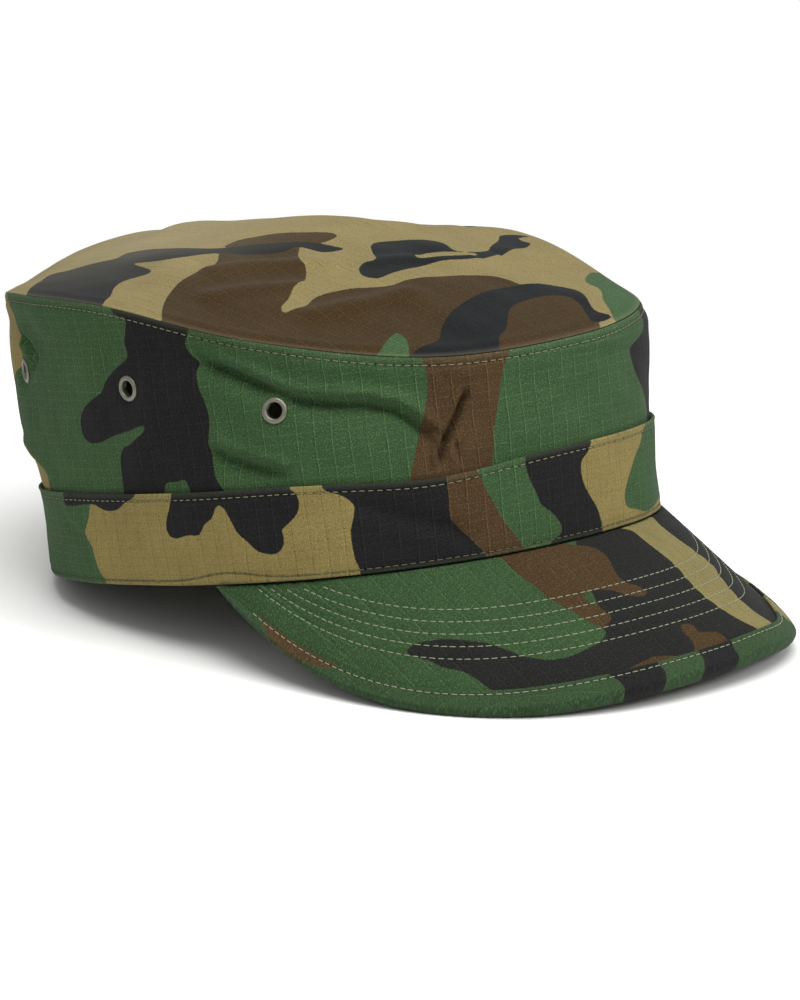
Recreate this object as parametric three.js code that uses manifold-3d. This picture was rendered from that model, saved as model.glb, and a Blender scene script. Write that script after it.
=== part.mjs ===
import * as THREE from 'three';
import { mergeVertices } from 'three/addons/utils/BufferGeometryUtils.js';
import Module from 'manifold-3d';

// A soft patrol cap that lies by itself, on the rear of its hem and on the two sides of its visor.
// Millimetres and degrees. +X is the wearer's left, +Y the back of the head and +Z up.
// The cap is made in a frame of its own, with the hem in the plane z = 0 and the head opening's
// centre at the origin, and the whole cap is then tipped back onto the surface.
// A turn is measured round the crown from the front centre, positive towards the wearer's right.

// Head opening, from its centre to the cloth at the hem
const hemFront = 98.5;
const hemBack = 100;
const hemSide = 82;
const hemSquareness = 2.2;

// Seam round the top of the crown
const rimFront = 102.5;
const rimBack = 106;
const rimSide = 85;
const rimSquareness = 2.1;
const rimShift = -0.5;

// Crown
const crownFrontHeight = 58.5;
const crownBackHeight = 92.5;
const wallBow = 0.5;
const wallInset = 0.8;
const domeHeight = 17;
const domeRoundness = 1.5;
const crownCloth = 1.2;

// Band
const bandHeight = 27.5;
const bandDip = 2.5;
const bandDipTurn = 32;
const bandDipWidth = 16;
const bandCloth = 1.2;

// Visor: slopes are measured down from the hem's plane
const visorSpread = 74;
const visorReach = 60.3;
const visorFullness = 3.9;
const visorSlope = 41;
const visorSideDroop = 18;
const visorCornerLift = 3.5;
const visorForward = 0.64;
const visorCorner = 0.975;
const visorCloth = 1.4;

// Binding round the visor's free edge
const bindingWidth = 6.5;
const bindingCloth = 0.9;
const cornerLip = 0.5;

// Eyelets: radii and the thickness of the metal
const eyeletHole = 2.4;
const eyeletBarrel = 2.9;
const eyeletFlange = 4.3;
const eyeletWasher = 4;
const eyeletMetal = 0.6;
const eyeletCrown = 0.5;

// Fits between the pieces, and how far the cloth is pressed flat by the surface below
const clearance = 0.3;
const bandGap = 0.5;
const bindingGap = 0.45;
const eyeletSeat = 0.6;
const pressed = 0.9;

// Fineness of the faceted solids
const aroundSteps = 72;
const bandRows = 4;
const wallRows = 7;
const topRows = 7;
const visorSteps = 40;
const visorRows = 5;
const eyeletSides = 12;

// Wall height round the crown, as the share of the climb from the front height to the back height
const riseRows = [
  { turn: -150, climb: 0.84 },
  { turn: -120, climb: 0.79 },
  { turn: -90, climb: 0.69 },
  { turn: -60, climb: 0.19 },
  { turn: -30, climb: 0.06 },
  { turn: 0, climb: 0 },
  { turn: 30, climb: 0.04 },
  { turn: 60, climb: 0.34 },
  { turn: 90, climb: 0.735 },
  { turn: 120, climb: 0.85 },
  { turn: 150, climb: 0.81 },
  { turn: 180, climb: 1 },
];

// Folds of the wall and the band: where the middle is, how far the line leans up from level
// towards a growing turn, and its length, width and depth as shares of hemSide. Level is a share
// of the wall's height, and a negative depth is a valley.
const wallFolds = [
  { name: 'long_valley', turn: 52, level: 0.785, lean: 21, run: 0.72, width: 0.07, depth: -0.024 },
  { name: 'front_pucker', turn: 27, level: 0.7, lean: -63, run: 0.24, width: 0.07, depth: -0.02 },
  { name: 'hem_valley', turn: 64, level: 0.47, lean: 27, run: 0.26, width: 0.075, depth: -0.02 },
  { name: 'band_valley', turn: 36, level: 0.2, lean: 29, run: 0.42, width: 0.08, depth: -0.015 },
  { name: 'rear_ridge', turn: 123, level: 0.37, lean: 28, run: 0.46, width: 0.1, depth: 0.022 },
  { name: 'hem_ridge', turn: 107, level: 0.13, lean: 57, run: 0.34, width: 0.1, depth: 0.018 },
  { name: 'corner_crease', turn: 116, level: 0.84, lean: 42, run: 0.16, width: 0.065, depth: -0.024 },
  { name: 'left_valley', turn: -58, level: 0.66, lean: -18, run: 0.6, width: 0.09, depth: -0.02 },
  { name: 'left_ridge', turn: -112, level: 0.4, lean: -35, run: 0.5, width: 0.1, depth: 0.02 },
  { name: 'back_valley', turn: 172, level: 0.6, lean: 8, run: 0.55, width: 0.09, depth: -0.016 },
];

// Soft dents and ridges of the top panel. Reach is the share of the way from its centre to the
// rim, and the lean is measured from the fore-and-aft line. Lengths are shares of rimSide.
const topFolds = [
  { name: 'centre_dent', turn: 30, reach: 0.35, lean: 70, run: 0.9, width: 0.22, depth: -0.018 },
  { name: 'right_ridge', turn: 95, reach: 0.62, lean: 35, run: 0.55, width: 0.11, depth: 0.018 },
  { name: 'rear_ridge', turn: 150, reach: 0.55, lean: 80, run: 0.8, width: 0.12, depth: 0.02 },
  { name: 'left_dent', turn: -95, reach: 0.6, lean: -25, run: 0.8, width: 0.14, depth: -0.02 },
];

const eyeletRows = [
  { name: 'front', turn: 58, level: 0.715 },
  { name: 'middle', turn: 87.5, level: 0.71 },
  { name: 'rear', turn: 123, level: 0.725 },
];

// Outer face of the band from the fitted outline, and the visor's whole thickness
const bandFace = -wallInset + bandGap + bandCloth;
const visorThickness = 2 * visorCloth + clearance;

const radians = THREE.MathUtils.degToRad;
const lathedAxis = new THREE.Vector3(0, 1, 0);
const wasm = await Module();
wasm.setup();

// Shapes of the cloth

// A squared oval with its own length to the front and to the back
function oval(turn, front, back, side, squareness) {
  const forward = Math.cos(turn);
  const sideways = Math.sin(turn);
  const sum = Math.abs(forward) ** squareness + Math.abs(sideways) ** squareness;
  const reach = sum ** (-1 / squareness);
  const length = forward > 0 ? front : back;
  return new THREE.Vector2(-side * sideways * reach, -length * forward * reach);
}

function hemOval(turn) {
  return oval(turn, hemFront, hemBack, hemSide, hemSquareness);
}

function rimOval(turn) {
  return oval(turn, rimFront, rimBack, rimSide, rimSquareness).add(new THREE.Vector2(rimShift, 0));
}

// Height of the top seam at a turn: a smooth closed curve through the rows
function rimHeight(turn) {
  const count = riseRows.length;
  const start = radians(riseRows[0].turn);
  const place = THREE.MathUtils.euclideanModulo(turn - start, 2 * Math.PI) / (2 * Math.PI) * count;
  const row = Math.floor(place) % count;
  const f = place - Math.floor(place);
  const [a, b, c, d] = [-1, 0, 1, 2].map((step) => riseRows[(row + step + count) % count].climb);
  const bend = (2 * a - 5 * b + 4 * c - d) * f * f + (3 * b - a - 3 * c + d) * f ** 3;
  const climb = b + ((c - a) * f + bend) / 2;
  return crownFrontHeight + (crownBackHeight - crownFrontHeight) * climb;
}

function bandTop(turn) {
  const away = (turn - radians(bandDipTurn)) / radians(bandDipWidth);
  return bandHeight - bandDip * Math.exp(-away * away);
}

// A fold is deepest along its middle line and dies out towards both ends
function foldDepth(fold, along, across, size) {
  const end = along / (fold.run * size / 2);
  const side = across / (fold.width * size);
  return fold.depth * size * Math.exp(-(end ** 4) - side * side);
}

// Signed difference between two turns, the short way round
function turnApart(turn, other) {
  return THREE.MathUtils.euclideanModulo(turn - other + Math.PI, 2 * Math.PI) - Math.PI;
}

function wallFoldSum(turn, level) {
  let sum = 0;
  for (const fold of wallFolds) {
    const sideways = turnApart(turn, radians(fold.turn)) * hemSide;
    const upward = (level - fold.level) * rimHeight(turn);
    const lean = radians(fold.lean);
    const along = sideways * Math.cos(lean) + upward * Math.sin(lean);
    const across = upward * Math.cos(lean) - sideways * Math.sin(lean);
    sum += foldDepth(fold, along, across, hemSide);
  }
  return sum;
}

// The section outline of the wall at a level, before its folds
function wallOutline(turn, level) {
  const point = hemOval(turn).multiplyScalar(1 - level).addScaledVector(rimOval(turn), level);
  const bowed = wallBow * 4 * level * (1 - level);
  return point.addScaledVector(point.clone().normalize(), bowed);
}

function outward(outline, turn) {
  const step = 0.01;
  const tangent = outline(turn + step).sub(outline(turn - step));
  return new THREE.Vector2(-tangent.y, tangent.x).normalize();
}

// A point of the wall or band, offset outwards by a distance
function wallPoint(turn, level, offset) {
  const out = outward((t) => wallOutline(t, level), turn);
  const point = wallOutline(turn, level).addScaledVector(out, offset + wallFoldSum(turn, level));
  return new THREE.Vector3(point.x, point.y, level * rimHeight(turn));
}

// A point of the top panel, at a share of the way from its centre to the rim
function topPoint(turn, reach) {
  const centre = new THREE.Vector2(rimShift, (rimBack - rimFront) / 2);
  const rim = rimOval(turn);
  const point = rim.clone().sub(centre).multiplyScalar(reach).add(centre);
  const middle = [0, 90, 180, 270].reduce((sum, t) => sum + rimHeight(radians(t)), 0) / 4;
  const slope = (crownBackHeight - crownFrontHeight) / (rimFront + rimBack);
  const plane = (y) => middle + slope * (y - centre.y);
  const edge = (rimHeight(turn) - plane(rim.y)) * reach ** 2;
  const dome = domeHeight * (1 - reach ** domeRoundness);
  let height = plane(point.y) + edge + dome;
  for (const fold of topFolds) {
    const at = rimOval(radians(fold.turn)).sub(centre).multiplyScalar(fold.reach).add(centre);
    const away = point.clone().sub(at);
    const lean = radians(fold.lean);
    const along = away.y * Math.cos(lean) + away.x * Math.sin(lean);
    const across = away.x * Math.cos(lean) - away.y * Math.sin(lean);
    height += foldDepth(fold, along, across, rimSide) * (1 - reach ** 4);
  }
  return new THREE.Vector3(point.x, point.y, height);
}

// The visor's bent surface: across from -1 to 1 along the hem, out from 0 at the hem to 1
function visorSheet(across, out) {
  const turn = radians(across * visorSpread);
  const root = hemOval(turn);
  const away = outward(hemOval, turn).multiplyScalar(1 - visorForward);
  away.y -= visorForward;
  away.normalize();
  const droop = visorSlope + visorSideDroop * across ** 2 - visorCornerLift * across ** 4;
  const reach = visorReach * (1 - Math.abs(across) ** visorFullness) * out;
  root.addScaledVector(away, reach * Math.cos(radians(droop)));
  return new THREE.Vector3(root.x, root.y, -reach * Math.sin(radians(droop)));
}

function visorNormal(across, out) {
  const step = 0.004;
  const alongHem = visorSheet(across + step, out).sub(visorSheet(across - step, out));
  const outwards = visorSheet(across, out + step).sub(visorSheet(across, out - step));
  return alongHem.cross(outwards).normalize();
}

// The direction out of the visor's free edge, in its surface
function edgeDirection(across) {
  const step = 0.004;
  const tangent = visorSheet(across + step, 1).sub(visorSheet(across - step, 1));
  return visorNormal(across, 1).cross(tangent).normalize();
}

// A point in the visor's thickness, at a height above or below its middle. The hem seam lies on
// the upper face, and the plies stop short of the free edge by the binding's cloth. Beyond is a
// distance past the plies' own edge.
function visorPoint(across, out, height, beyond = 0) {
  const inset = bindingCloth + bindingGap;
  const raise = visorThickness / 2 * (out - 1) + height;
  const point = visorSheet(across, out).addScaledVector(visorNormal(across, out), raise);
  point.addScaledVector(edgeDirection(across), beyond - inset * out);
  point.z = Math.min(point.z, 0) - clearance;
  return point;
}

// How the closed solids are made

function bare(geometry) {
  geometry.deleteAttribute('normal');
  geometry.deleteAttribute('uv');
  return mergeVertices(geometry, 1e-4);
}

function moveVertices(geometry, place) {
  const positions = geometry.attributes.position;
  for (let i = 0; i < positions.count; i++) {
    const moved = place(positions.getX(i), positions.getY(i), positions.getZ(i));
    positions.setXYZ(i, moved.x, moved.y, moved.z);
  }
  return bare(geometry);
}

function toSolid(geometry) {
  const vertProperties = new Float32Array(geometry.attributes.position.array);
  const triVerts = new Uint32Array(geometry.index.array);
  return new wasm.Manifold(new wasm.Mesh({ numProp: 3, vertProperties, triVerts }));
}

function toGeometry(solid) {
  const mesh = solid.getMesh();
  const geometry = new THREE.BufferGeometry();
  geometry.setAttribute('position', new THREE.BufferAttribute(mesh.vertProperties, 3));
  geometry.setIndex(new THREE.BufferAttribute(mesh.triVerts, 1));
  return geometry;
}

// Shares from 0 to 1 in equal steps
function shares(count) {
  return Array.from({ length: count + 1 }, (_, i) => i / count);
}

// Crown wall and band. They share their rows over the band, so that they fold alike. Height 0 is
// the hem, 1 the band's top edge and 2 the wall's top edge, just under the top panel.
function levelAt(turn, height) {
  const full = rimHeight(turn);
  const top = full - crownCloth - clearance;
  const edge = bandTop(turn);
  return (height <= 1 ? height * edge : edge + (height - 1) * (top - edge)) / full;
}

// A closed cloth section, from its outer face to its inner one, turned round a plain ring whose
// points are then moved out to the wall's place
function clothRing(heights, outerFace, cloth) {
  const ring = 10;
  const outer = heights.map((height) => new THREE.Vector2(ring, height)).reverse();
  const inner = heights.map((height) => new THREE.Vector2(ring - 1, height));
  const lathe = new THREE.LatheGeometry([...outer, ...inner, outer[0]], aroundSteps);
  return moveVertices(lathe, (x, y, z) => {
    const turn = Math.atan2(x, z);
    const depth = (ring - Math.hypot(x, z)) * cloth;
    return wallPoint(turn, levelAt(turn, y), outerFace - depth);
  });
}

function wallGeometry() {
  const above = shares(wallRows).slice(1).map((share) => 1 + share);
  return clothRing([...shares(bandRows), ...above], -wallInset, crownCloth);
}

function bandGeometry() {
  return clothRing(shares(bandRows), bandFace, bandCloth);
}

// Crown top: a domed panel of even upright thickness
function topGeometry() {
  const upper = shares(topRows).map((reach) => new THREE.Vector2(reach, 0));
  const lower = shares(topRows).map((reach) => new THREE.Vector2(reach, -crownCloth)).reverse();
  const lathe = new THREE.LatheGeometry([...upper, ...lower], aroundSteps);
  return moveVertices(lathe, (x, y, z) => {
    const point = topPoint(Math.atan2(x, z), Math.hypot(x, z));
    point.z += y;
    return point;
  });
}

// Visor ply: a box along the hem, bent to the visor's sheet
function plyGeometry(side) {
  const middle = side * (clearance + visorCloth) / 2;
  const box = new THREE.BoxGeometry(2 * visorCorner, 1, visorCloth, visorSteps, visorRows, 1);
  return moveVertices(box, (x, y, z) => visorPoint(x, y + 0.5, middle + z));
}

// Binding: a strip folded over the free edge. Its section is drawn with the lips as shares of
// their width, from -1 to 0, and the fold past the plies' edge in millimetres.
function bindingGeometry() {
  const inner = visorThickness / 2 + bindingGap;
  const outer = inner + bindingCloth;
  const fold = bindingGap + bindingCloth;
  const section = new THREE.Shape([
    new THREE.Vector2(-1, outer),
    new THREE.Vector2(0, outer),
    new THREE.Vector2(fold, inner / 2),
    new THREE.Vector2(fold, -inner / 2),
    new THREE.Vector2(0, -outer),
    new THREE.Vector2(-1, -outer),
    new THREE.Vector2(-1, -inner),
    new THREE.Vector2(bindingGap, -inner),
    new THREE.Vector2(bindingGap, inner),
    new THREE.Vector2(-1, inner),
  ]);
  const strip = new THREE.ExtrudeGeometry(section, {
    depth: 2 * visorCorner,
    steps: visorSteps,
    bevelEnabled: false,
  });
  return moveVertices(strip, (x, y, z) => {
    const across = z - visorCorner;
    const reach = visorReach * (1 - Math.abs(across) ** visorFullness);
    const lip = Math.min(bindingWidth / reach, cornerLip);
    return visorPoint(across, 1 + Math.min(x, 0) * lip, y, Math.max(x, 0));
  });
}

// Eyelet: a rolled ring outside, a barrel through the wall and a flat washer inside
function eyeletGeometry() {
  const inside = -crownCloth - eyeletSeat;
  const face = eyeletSeat + eyeletMetal;
  const middle = (eyeletHole + eyeletFlange) / 2;
  const section = [
    [eyeletWasher, inside - eyeletMetal],
    [eyeletWasher, inside],
    [eyeletBarrel, inside],
    [eyeletBarrel, eyeletSeat],
    [eyeletFlange, eyeletSeat],
    [eyeletFlange, face - eyeletMetal / 2],
    [middle, face + eyeletCrown],
    [eyeletHole, face],
    [eyeletHole, inside - eyeletMetal],
    [eyeletWasher, inside - eyeletMetal],
  ];
  const points = section.map(([radius, height]) => new THREE.Vector2(radius, height));
  return bare(new THREE.LatheGeometry(points, eyeletSides));
}

// Places of the eyelets on the wall's outer face, with the direction out of it
function wallNormal(turn, level) {
  const step = 0.02;
  const around = wallPoint(turn - step, level, 0).sub(wallPoint(turn + step, level, 0));
  const upward = wallPoint(turn, level + step, 0).sub(wallPoint(turn, level - step, 0));
  return around.cross(upward).normalize();
}

const eyelets = ['right', 'left'].flatMap((side) => eyeletRows.map((row) => {
  const turn = radians(side === 'right' ? row.turn : -row.turn);
  return {
    name: `eyelet_${side}_${row.name}`,
    place: wallPoint(turn, row.level, -wallInset),
    out: wallNormal(turn, row.level),
  };
}));

// Hole through the wall for an eyelet's barrel
function holeSolid(eyelet) {
  const radius = eyeletBarrel + clearance;
  const drill = new THREE.CylinderGeometry(radius, radius, 8 * crownCloth, eyeletSides);
  const turned = new THREE.Quaternion().setFromUnitVectors(lathedAxis, eyelet.out);
  drill.applyQuaternion(turned).translate(...eyelet.place);
  return toSolid(bare(drill));
}

// How the cap lies: tipped back until the visor's edge and the rear of the hem are level
const visorUnder = plyGeometry(-1);
const binding = bindingGeometry();
const rear = hemBack + bandFace;

function restTilt() {
  let tilt = 0;
  const point = new THREE.Vector3();
  const positions = binding.attributes.position;
  for (let i = 0; i < positions.count; i++) {
    point.fromBufferAttribute(positions, i);
    tilt = Math.max(tilt, Math.atan2(-point.z, rear - point.y));
  }
  return tilt;
}

const tilt = restTilt();
const floor = pressed - rear * Math.sin(tilt);

// Everything under the surface that the cap lies on, in the cap's own frame
function belowFloor() {
  const size = 4 * (hemBack + hemFront);
  const block = new THREE.BoxGeometry(size, size, size);
  block.translate(0, 0, floor - size / 2).rotateX(tilt);
  return toSolid(bare(block));
}

const below = belowFloor();

function pressedFlat(geometry) {
  return toGeometry(toSolid(geometry).subtract(below));
}

function drilledWall() {
  const wall = toSolid(wallGeometry()).subtract(below);
  return toGeometry(eyelets.reduce((solid, eyelet) => solid.subtract(holeSolid(eyelet)), wall));
}

// Materials

const cloth = new THREE.MeshStandardMaterial({ color: 0x4a5a3a, roughness: 0.9, metalness: 0 });
const topCloth = new THREE.MeshStandardMaterial({ color: 0x8a7a58, roughness: 0.9, metalness: 0 });
const bandMaterial = new THREE.MeshStandardMaterial({ color: 0x6b5f45, roughness: 0.9, metalness: 0 });
const visorMaterial = new THREE.MeshStandardMaterial({ color: 0x3f4d38, roughness: 0.9, metalness: 0 });
const bindingMaterial = new THREE.MeshStandardMaterial({ color: 0x35402f, roughness: 0.9, metalness: 0 });
const metal = new THREE.MeshStandardMaterial({ color: 0x8f918a, roughness: 0.4, metalness: 0.9 });

// The cap

const cap = new THREE.Group();
const lying = new THREE.Group();
cap.add(lying);

function addPiece(name, geometry, material) {
  const mesh = new THREE.Mesh(geometry, material);
  mesh.name = name;
  lying.add(mesh);
  return mesh;
}

addPiece('crown_top', topGeometry(), topCloth);
addPiece('crown_wall', drilledWall(), cloth);
addPiece('band', pressedFlat(bandGeometry()), bandMaterial);
addPiece('visor_top', plyGeometry(1), visorMaterial);
addPiece('visor_under', pressedFlat(visorUnder), visorMaterial);
addPiece('visor_binding', pressedFlat(binding), bindingMaterial);
for (const eyelet of eyelets) {
  const mesh = addPiece(eyelet.name, eyeletGeometry(), metal);
  mesh.position.copy(eyelet.place);
  mesh.quaternion.setFromUnitVectors(lathedAxis, eyelet.out);
}

// The origin is under the middle of the whole cap
lying.rotation.x = -tilt;
lying.updateMatrixWorld(true);
const box = new THREE.Box3().setFromObject(lying, true);
const middle = box.getCenter(new THREE.Vector3());
lying.position.set(-middle.x, -middle.y, -box.min.z);

export default cap;
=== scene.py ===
"""The looks of a soft patrol cap in a woodland print: its cloth, print, thread and metal.

The cap is shaped in a frame of its own, in millimetres, as its solids are. The hem lies in the
plane z = 0 with the centre of the head opening at the origin, +X is the wearer's left, +Y the back
and +Z up. A turn runs round the crown from the front centre and grows towards the wearer's right.
The whole cap is then tipped back onto the floor that it lies on.
"""

import math

import bmesh
import bpy
import numpy as np
from mathutils import Matrix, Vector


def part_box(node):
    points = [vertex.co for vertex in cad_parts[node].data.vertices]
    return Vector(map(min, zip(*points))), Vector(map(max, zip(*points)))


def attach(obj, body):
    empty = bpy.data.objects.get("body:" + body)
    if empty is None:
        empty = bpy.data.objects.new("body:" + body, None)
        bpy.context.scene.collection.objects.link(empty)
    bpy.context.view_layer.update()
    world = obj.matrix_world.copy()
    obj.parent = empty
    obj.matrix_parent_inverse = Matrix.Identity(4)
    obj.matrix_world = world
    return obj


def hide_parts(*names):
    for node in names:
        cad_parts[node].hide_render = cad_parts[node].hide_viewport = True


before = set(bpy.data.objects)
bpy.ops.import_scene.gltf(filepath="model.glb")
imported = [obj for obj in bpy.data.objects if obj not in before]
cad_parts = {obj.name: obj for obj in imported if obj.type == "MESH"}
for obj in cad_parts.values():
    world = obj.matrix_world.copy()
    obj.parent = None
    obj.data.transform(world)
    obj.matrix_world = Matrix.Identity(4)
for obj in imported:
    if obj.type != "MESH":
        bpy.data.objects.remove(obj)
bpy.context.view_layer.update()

MILLIMETRE = 0.001


def table(columns, *rows):
    """Rows of values under the names of their columns."""
    return [dict(zip(columns.split(), row)) for row in rows]


# Head opening, from its centre to the cloth at the hem
hem_front = 98.5
hem_back = 100.0
hem_side = 82.0
hem_squareness = 2.2

# Seam round the top of the crown
rim_front = 102.5
rim_back = 106.0
rim_side = 85.0
rim_squareness = 2.1
rim_shift = -0.5

# Crown
crown_front_height = 58.5
crown_back_height = 92.5
wall_bow = 0.5
wall_inset = 0.8
dome_height = 17.0
dome_roundness = 1.5
crown_cloth = 1.2

# Band
band_height = 27.5
band_dip = 2.5
band_dip_turn = 32.0
band_dip_width = 16.0
band_cloth = 1.2

# Visor
visor_spread = 74.0
visor_reach = 60.3
visor_fullness = 3.9
visor_slope = 41.0
visor_side_droop = 18.0
visor_corner_lift = 3.5
visor_forward = 0.64
visor_corner = 0.975
visor_cloth = 1.4

# Binding round the visor's free edge
binding_width = 6.5
binding_cloth = 0.9
corner_lip = 0.5

# How the worn visor is bent in and lifted on the wearer's left: how far in millimetres, and where
# and how wide as shares of the way across
left_trim = 4.4
left_trim_place = -0.61
left_trim_width = 0.15
left_lift = 2.5
left_lift_place = -0.26
left_lift_width = 0.16

# Fits, and how far the cloth that rests on the floor is pressed flat and stays clear of it
clearance = 0.3
band_gap = 0.5
binding_gap = 0.45
pressed = 0.9
floor_gap = 0.05

# Outer face of the band from the fitted outline, and the visor's whole thickness
band_face = -wall_inset + band_gap + band_cloth
visor_thickness = 2 * visor_cloth + clearance

# Wall height round the crown: at each turn, the share of the climb from the front to the back
rise_rows = table(
    "turn climb",
    (-150, 0.84),
    (-120, 0.79),
    (-90, 0.69),
    (-60, 0.19),
    (-30, 0.06),
    (0, 0.0),
    (30, 0.04),
    (60, 0.34),
    (90, 0.735),
    (120, 0.85),
    (150, 0.81),
    (180, 1.0),
)

# Main folds of the wall and the band, as on the solids: lengths are shares of hem_side
wall_folds = table(
    "name turn level lean run width depth",
    ("long_valley", 52, 0.785, 21, 0.72, 0.07, -0.024),
    ("front_pucker", 27, 0.7, -63, 0.24, 0.07, -0.02),
    ("hem_valley", 64, 0.47, 27, 0.26, 0.075, -0.02),
    ("band_valley", 36, 0.2, 29, 0.42, 0.08, -0.015),
    ("rear_ridge", 123, 0.37, 28, 0.46, 0.1, 0.022),
    ("hem_ridge", 107, 0.13, 57, 0.34, 0.1, 0.018),
    ("corner_crease", 116, 0.84, 42, 0.16, 0.065, -0.024),
    ("left_valley", -58, 0.66, -18, 0.6, 0.09, -0.02),
    ("left_ridge", -112, 0.4, -35, 0.5, 0.1, 0.02),
    ("back_valley", 172, 0.6, 8, 0.55, 0.09, -0.016),
)

# Soft dents and ridges of the top panel, as on the solids: lengths are shares of rim_side
top_folds = table(
    "name turn reach lean run width depth",
    ("centre_dent", 30, 0.35, 70, 0.9, 0.22, -0.018),
    ("right_ridge", 95, 0.62, 35, 0.55, 0.11, 0.018),
    ("rear_ridge", 150, 0.55, 80, 0.8, 0.12, 0.02),
    ("left_dent", -95, 0.6, -25, 0.8, 0.14, -0.02),
)

eyelet_rows = table(
    "name turn level",
    ("front", 58, 0.715),
    ("middle", 87.5, 0.71),
    ("rear", 123, 0.725),
)


# Shapes of the cloth, the same as the solids have


def bump_at(value, middle, width):
    """A smooth bump: 1 at its middle, fading out to both sides."""
    away = (value - middle) / width
    return np.exp(-away * away)


def unit(vectors):
    return vectors / np.maximum(np.linalg.norm(vectors, axis=-1, keepdims=True), 1e-9)


def run_lengths(points):
    """Length along a line of points, from its start to each of them."""
    steps = np.linalg.norm(np.diff(points, axis=0), axis=1)
    return np.concatenate([[0.0], np.cumsum(steps)])


def oval(turn, front, back, side, squareness):
    forward = np.cos(turn)
    sideways = np.sin(turn)
    total = np.abs(forward) ** squareness + np.abs(sideways) ** squareness
    reach = total ** (-1 / squareness)
    length = np.where(forward > 0, front, back)
    return np.stack([-side * sideways * reach, -length * forward * reach], -1)


def hem_oval(turn):
    return oval(turn, hem_front, hem_back, hem_side, hem_squareness)


def rim_oval(turn):
    return oval(turn, rim_front, rim_back, rim_side, rim_squareness) + np.array([rim_shift, 0.0])


def rim_height(turn):
    """Height of the top seam: a smooth closed curve through the rise rows."""
    climbs = np.array([row["climb"] for row in rise_rows])
    count = len(climbs)
    start = math.radians(rise_rows[0]["turn"])
    place = np.mod(turn - start, 2 * np.pi) / (2 * np.pi) * count
    row = np.floor(place).astype(int)
    f = place - row
    a, b, c, d = (climbs[(row + step) % count] for step in (-1, 0, 1, 2))
    bend = (2 * a - 5 * b + 4 * c - d) * f * f + (3 * b - a - 3 * c + d) * f**3
    climb = b + ((c - a) * f + bend) / 2
    return crown_front_height + (crown_back_height - crown_front_height) * climb


def band_top(turn):
    dip = bump_at(turn, math.radians(band_dip_turn), math.radians(band_dip_width))
    return band_height - band_dip * dip


def fold_depth(fold, along, across, size):
    end = along / (fold["run"] * size / 2)
    side = across / (fold["width"] * size)
    return fold["depth"] * size * np.exp(-(end**4) - side * side)


def turn_apart(turn, other):
    return np.mod(turn - other + np.pi, 2 * np.pi) - np.pi


def wall_fold_sum(turn, level):
    total = np.zeros(np.broadcast(turn, level).shape)
    for fold in wall_folds:
        sideways = turn_apart(turn, math.radians(fold["turn"])) * hem_side
        upward = (level - fold["level"]) * rim_height(turn)
        lean = math.radians(fold["lean"])
        along = sideways * math.cos(lean) + upward * math.sin(lean)
        across = upward * math.cos(lean) - sideways * math.sin(lean)
        total = total + fold_depth(fold, along, across, hem_side)
    return total


def wall_outline(turn, level):
    """The section outline of the wall at a level, before its folds."""
    level = np.asarray(level)[..., None]
    point = hem_oval(turn) * (1 - level) + rim_oval(turn) * level
    return point + unit(point) * wall_bow * 4 * level * (1 - level)


def outward(outline, turn):
    step = 0.01
    tangent = outline(turn + step) - outline(turn - step)
    return unit(np.stack([-tangent[..., 1], tangent[..., 0]], -1))


def wall_point(turn, level, offset):
    out = outward(lambda t: wall_outline(t, level), turn)
    distance = offset + wall_fold_sum(turn, level)
    flat = wall_outline(turn, level) + out * distance[..., None]
    height = level * rim_height(turn)
    return np.concatenate([flat, height[..., None]], -1)


def top_point(turn, reach):
    """A point of the top panel, at a share of the way from its centre to the rim."""
    centre = np.array([rim_shift, (rim_back - rim_front) / 2])
    rim = rim_oval(turn)
    point = (rim - centre) * reach[..., None] + centre
    quarters = np.radians([0.0, 90.0, 180.0, 270.0])
    middle = sum(rim_height(quarter) for quarter in quarters) / len(quarters)
    slope = (crown_back_height - crown_front_height) / (rim_front + rim_back)
    edge = (rim_height(turn) - middle - slope * (rim[..., 1] - centre[1])) * reach**2
    height = middle + slope * (point[..., 1] - centre[1]) + edge
    height = height + dome_height * (1 - reach**dome_roundness)
    for fold in top_folds:
        at = (rim_oval(np.radians(fold["turn"])) - centre) * fold["reach"] + centre
        away = point - at
        lean = math.radians(fold["lean"])
        along = away[..., 1] * math.cos(lean) + away[..., 0] * math.sin(lean)
        across = away[..., 0] * math.cos(lean) - away[..., 1] * math.sin(lean)
        height = height + fold_depth(fold, along, across, rim_side) * (1 - reach**4)
    return np.concatenate([point, height[..., None]], -1)


def visor_sheet(across, out):
    """The visor's bent surface: across from -1 to 1 along the hem, out from 0 at the hem to 1."""
    turn = np.radians(across * visor_spread)
    away = outward(hem_oval, turn) * (1 - visor_forward)
    away = unit(away + np.array([0.0, -visor_forward]))
    droop = np.radians(visor_slope + visor_side_droop * across**2 - visor_corner_lift * across**4)
    reach = visor_reach * (1 - np.abs(across) ** visor_fullness) * out
    flat = hem_oval(turn) + away * (reach * np.cos(droop))[..., None]
    return np.concatenate([flat, -(reach * np.sin(droop))[..., None]], -1)


def visor_normal(across, out):
    step = 0.004
    along_hem = visor_sheet(across + step, out) - visor_sheet(across - step, out)
    outwards = visor_sheet(across, out + step) - visor_sheet(across, out - step)
    return unit(np.cross(along_hem, outwards))


def edge_direction(across):
    """The direction out of the visor's free edge, in its surface."""
    step = 0.004
    edge = np.ones_like(across)
    tangent = visor_sheet(across + step, edge) - visor_sheet(across - step, edge)
    return unit(np.cross(visor_normal(across, edge), tangent))


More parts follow.
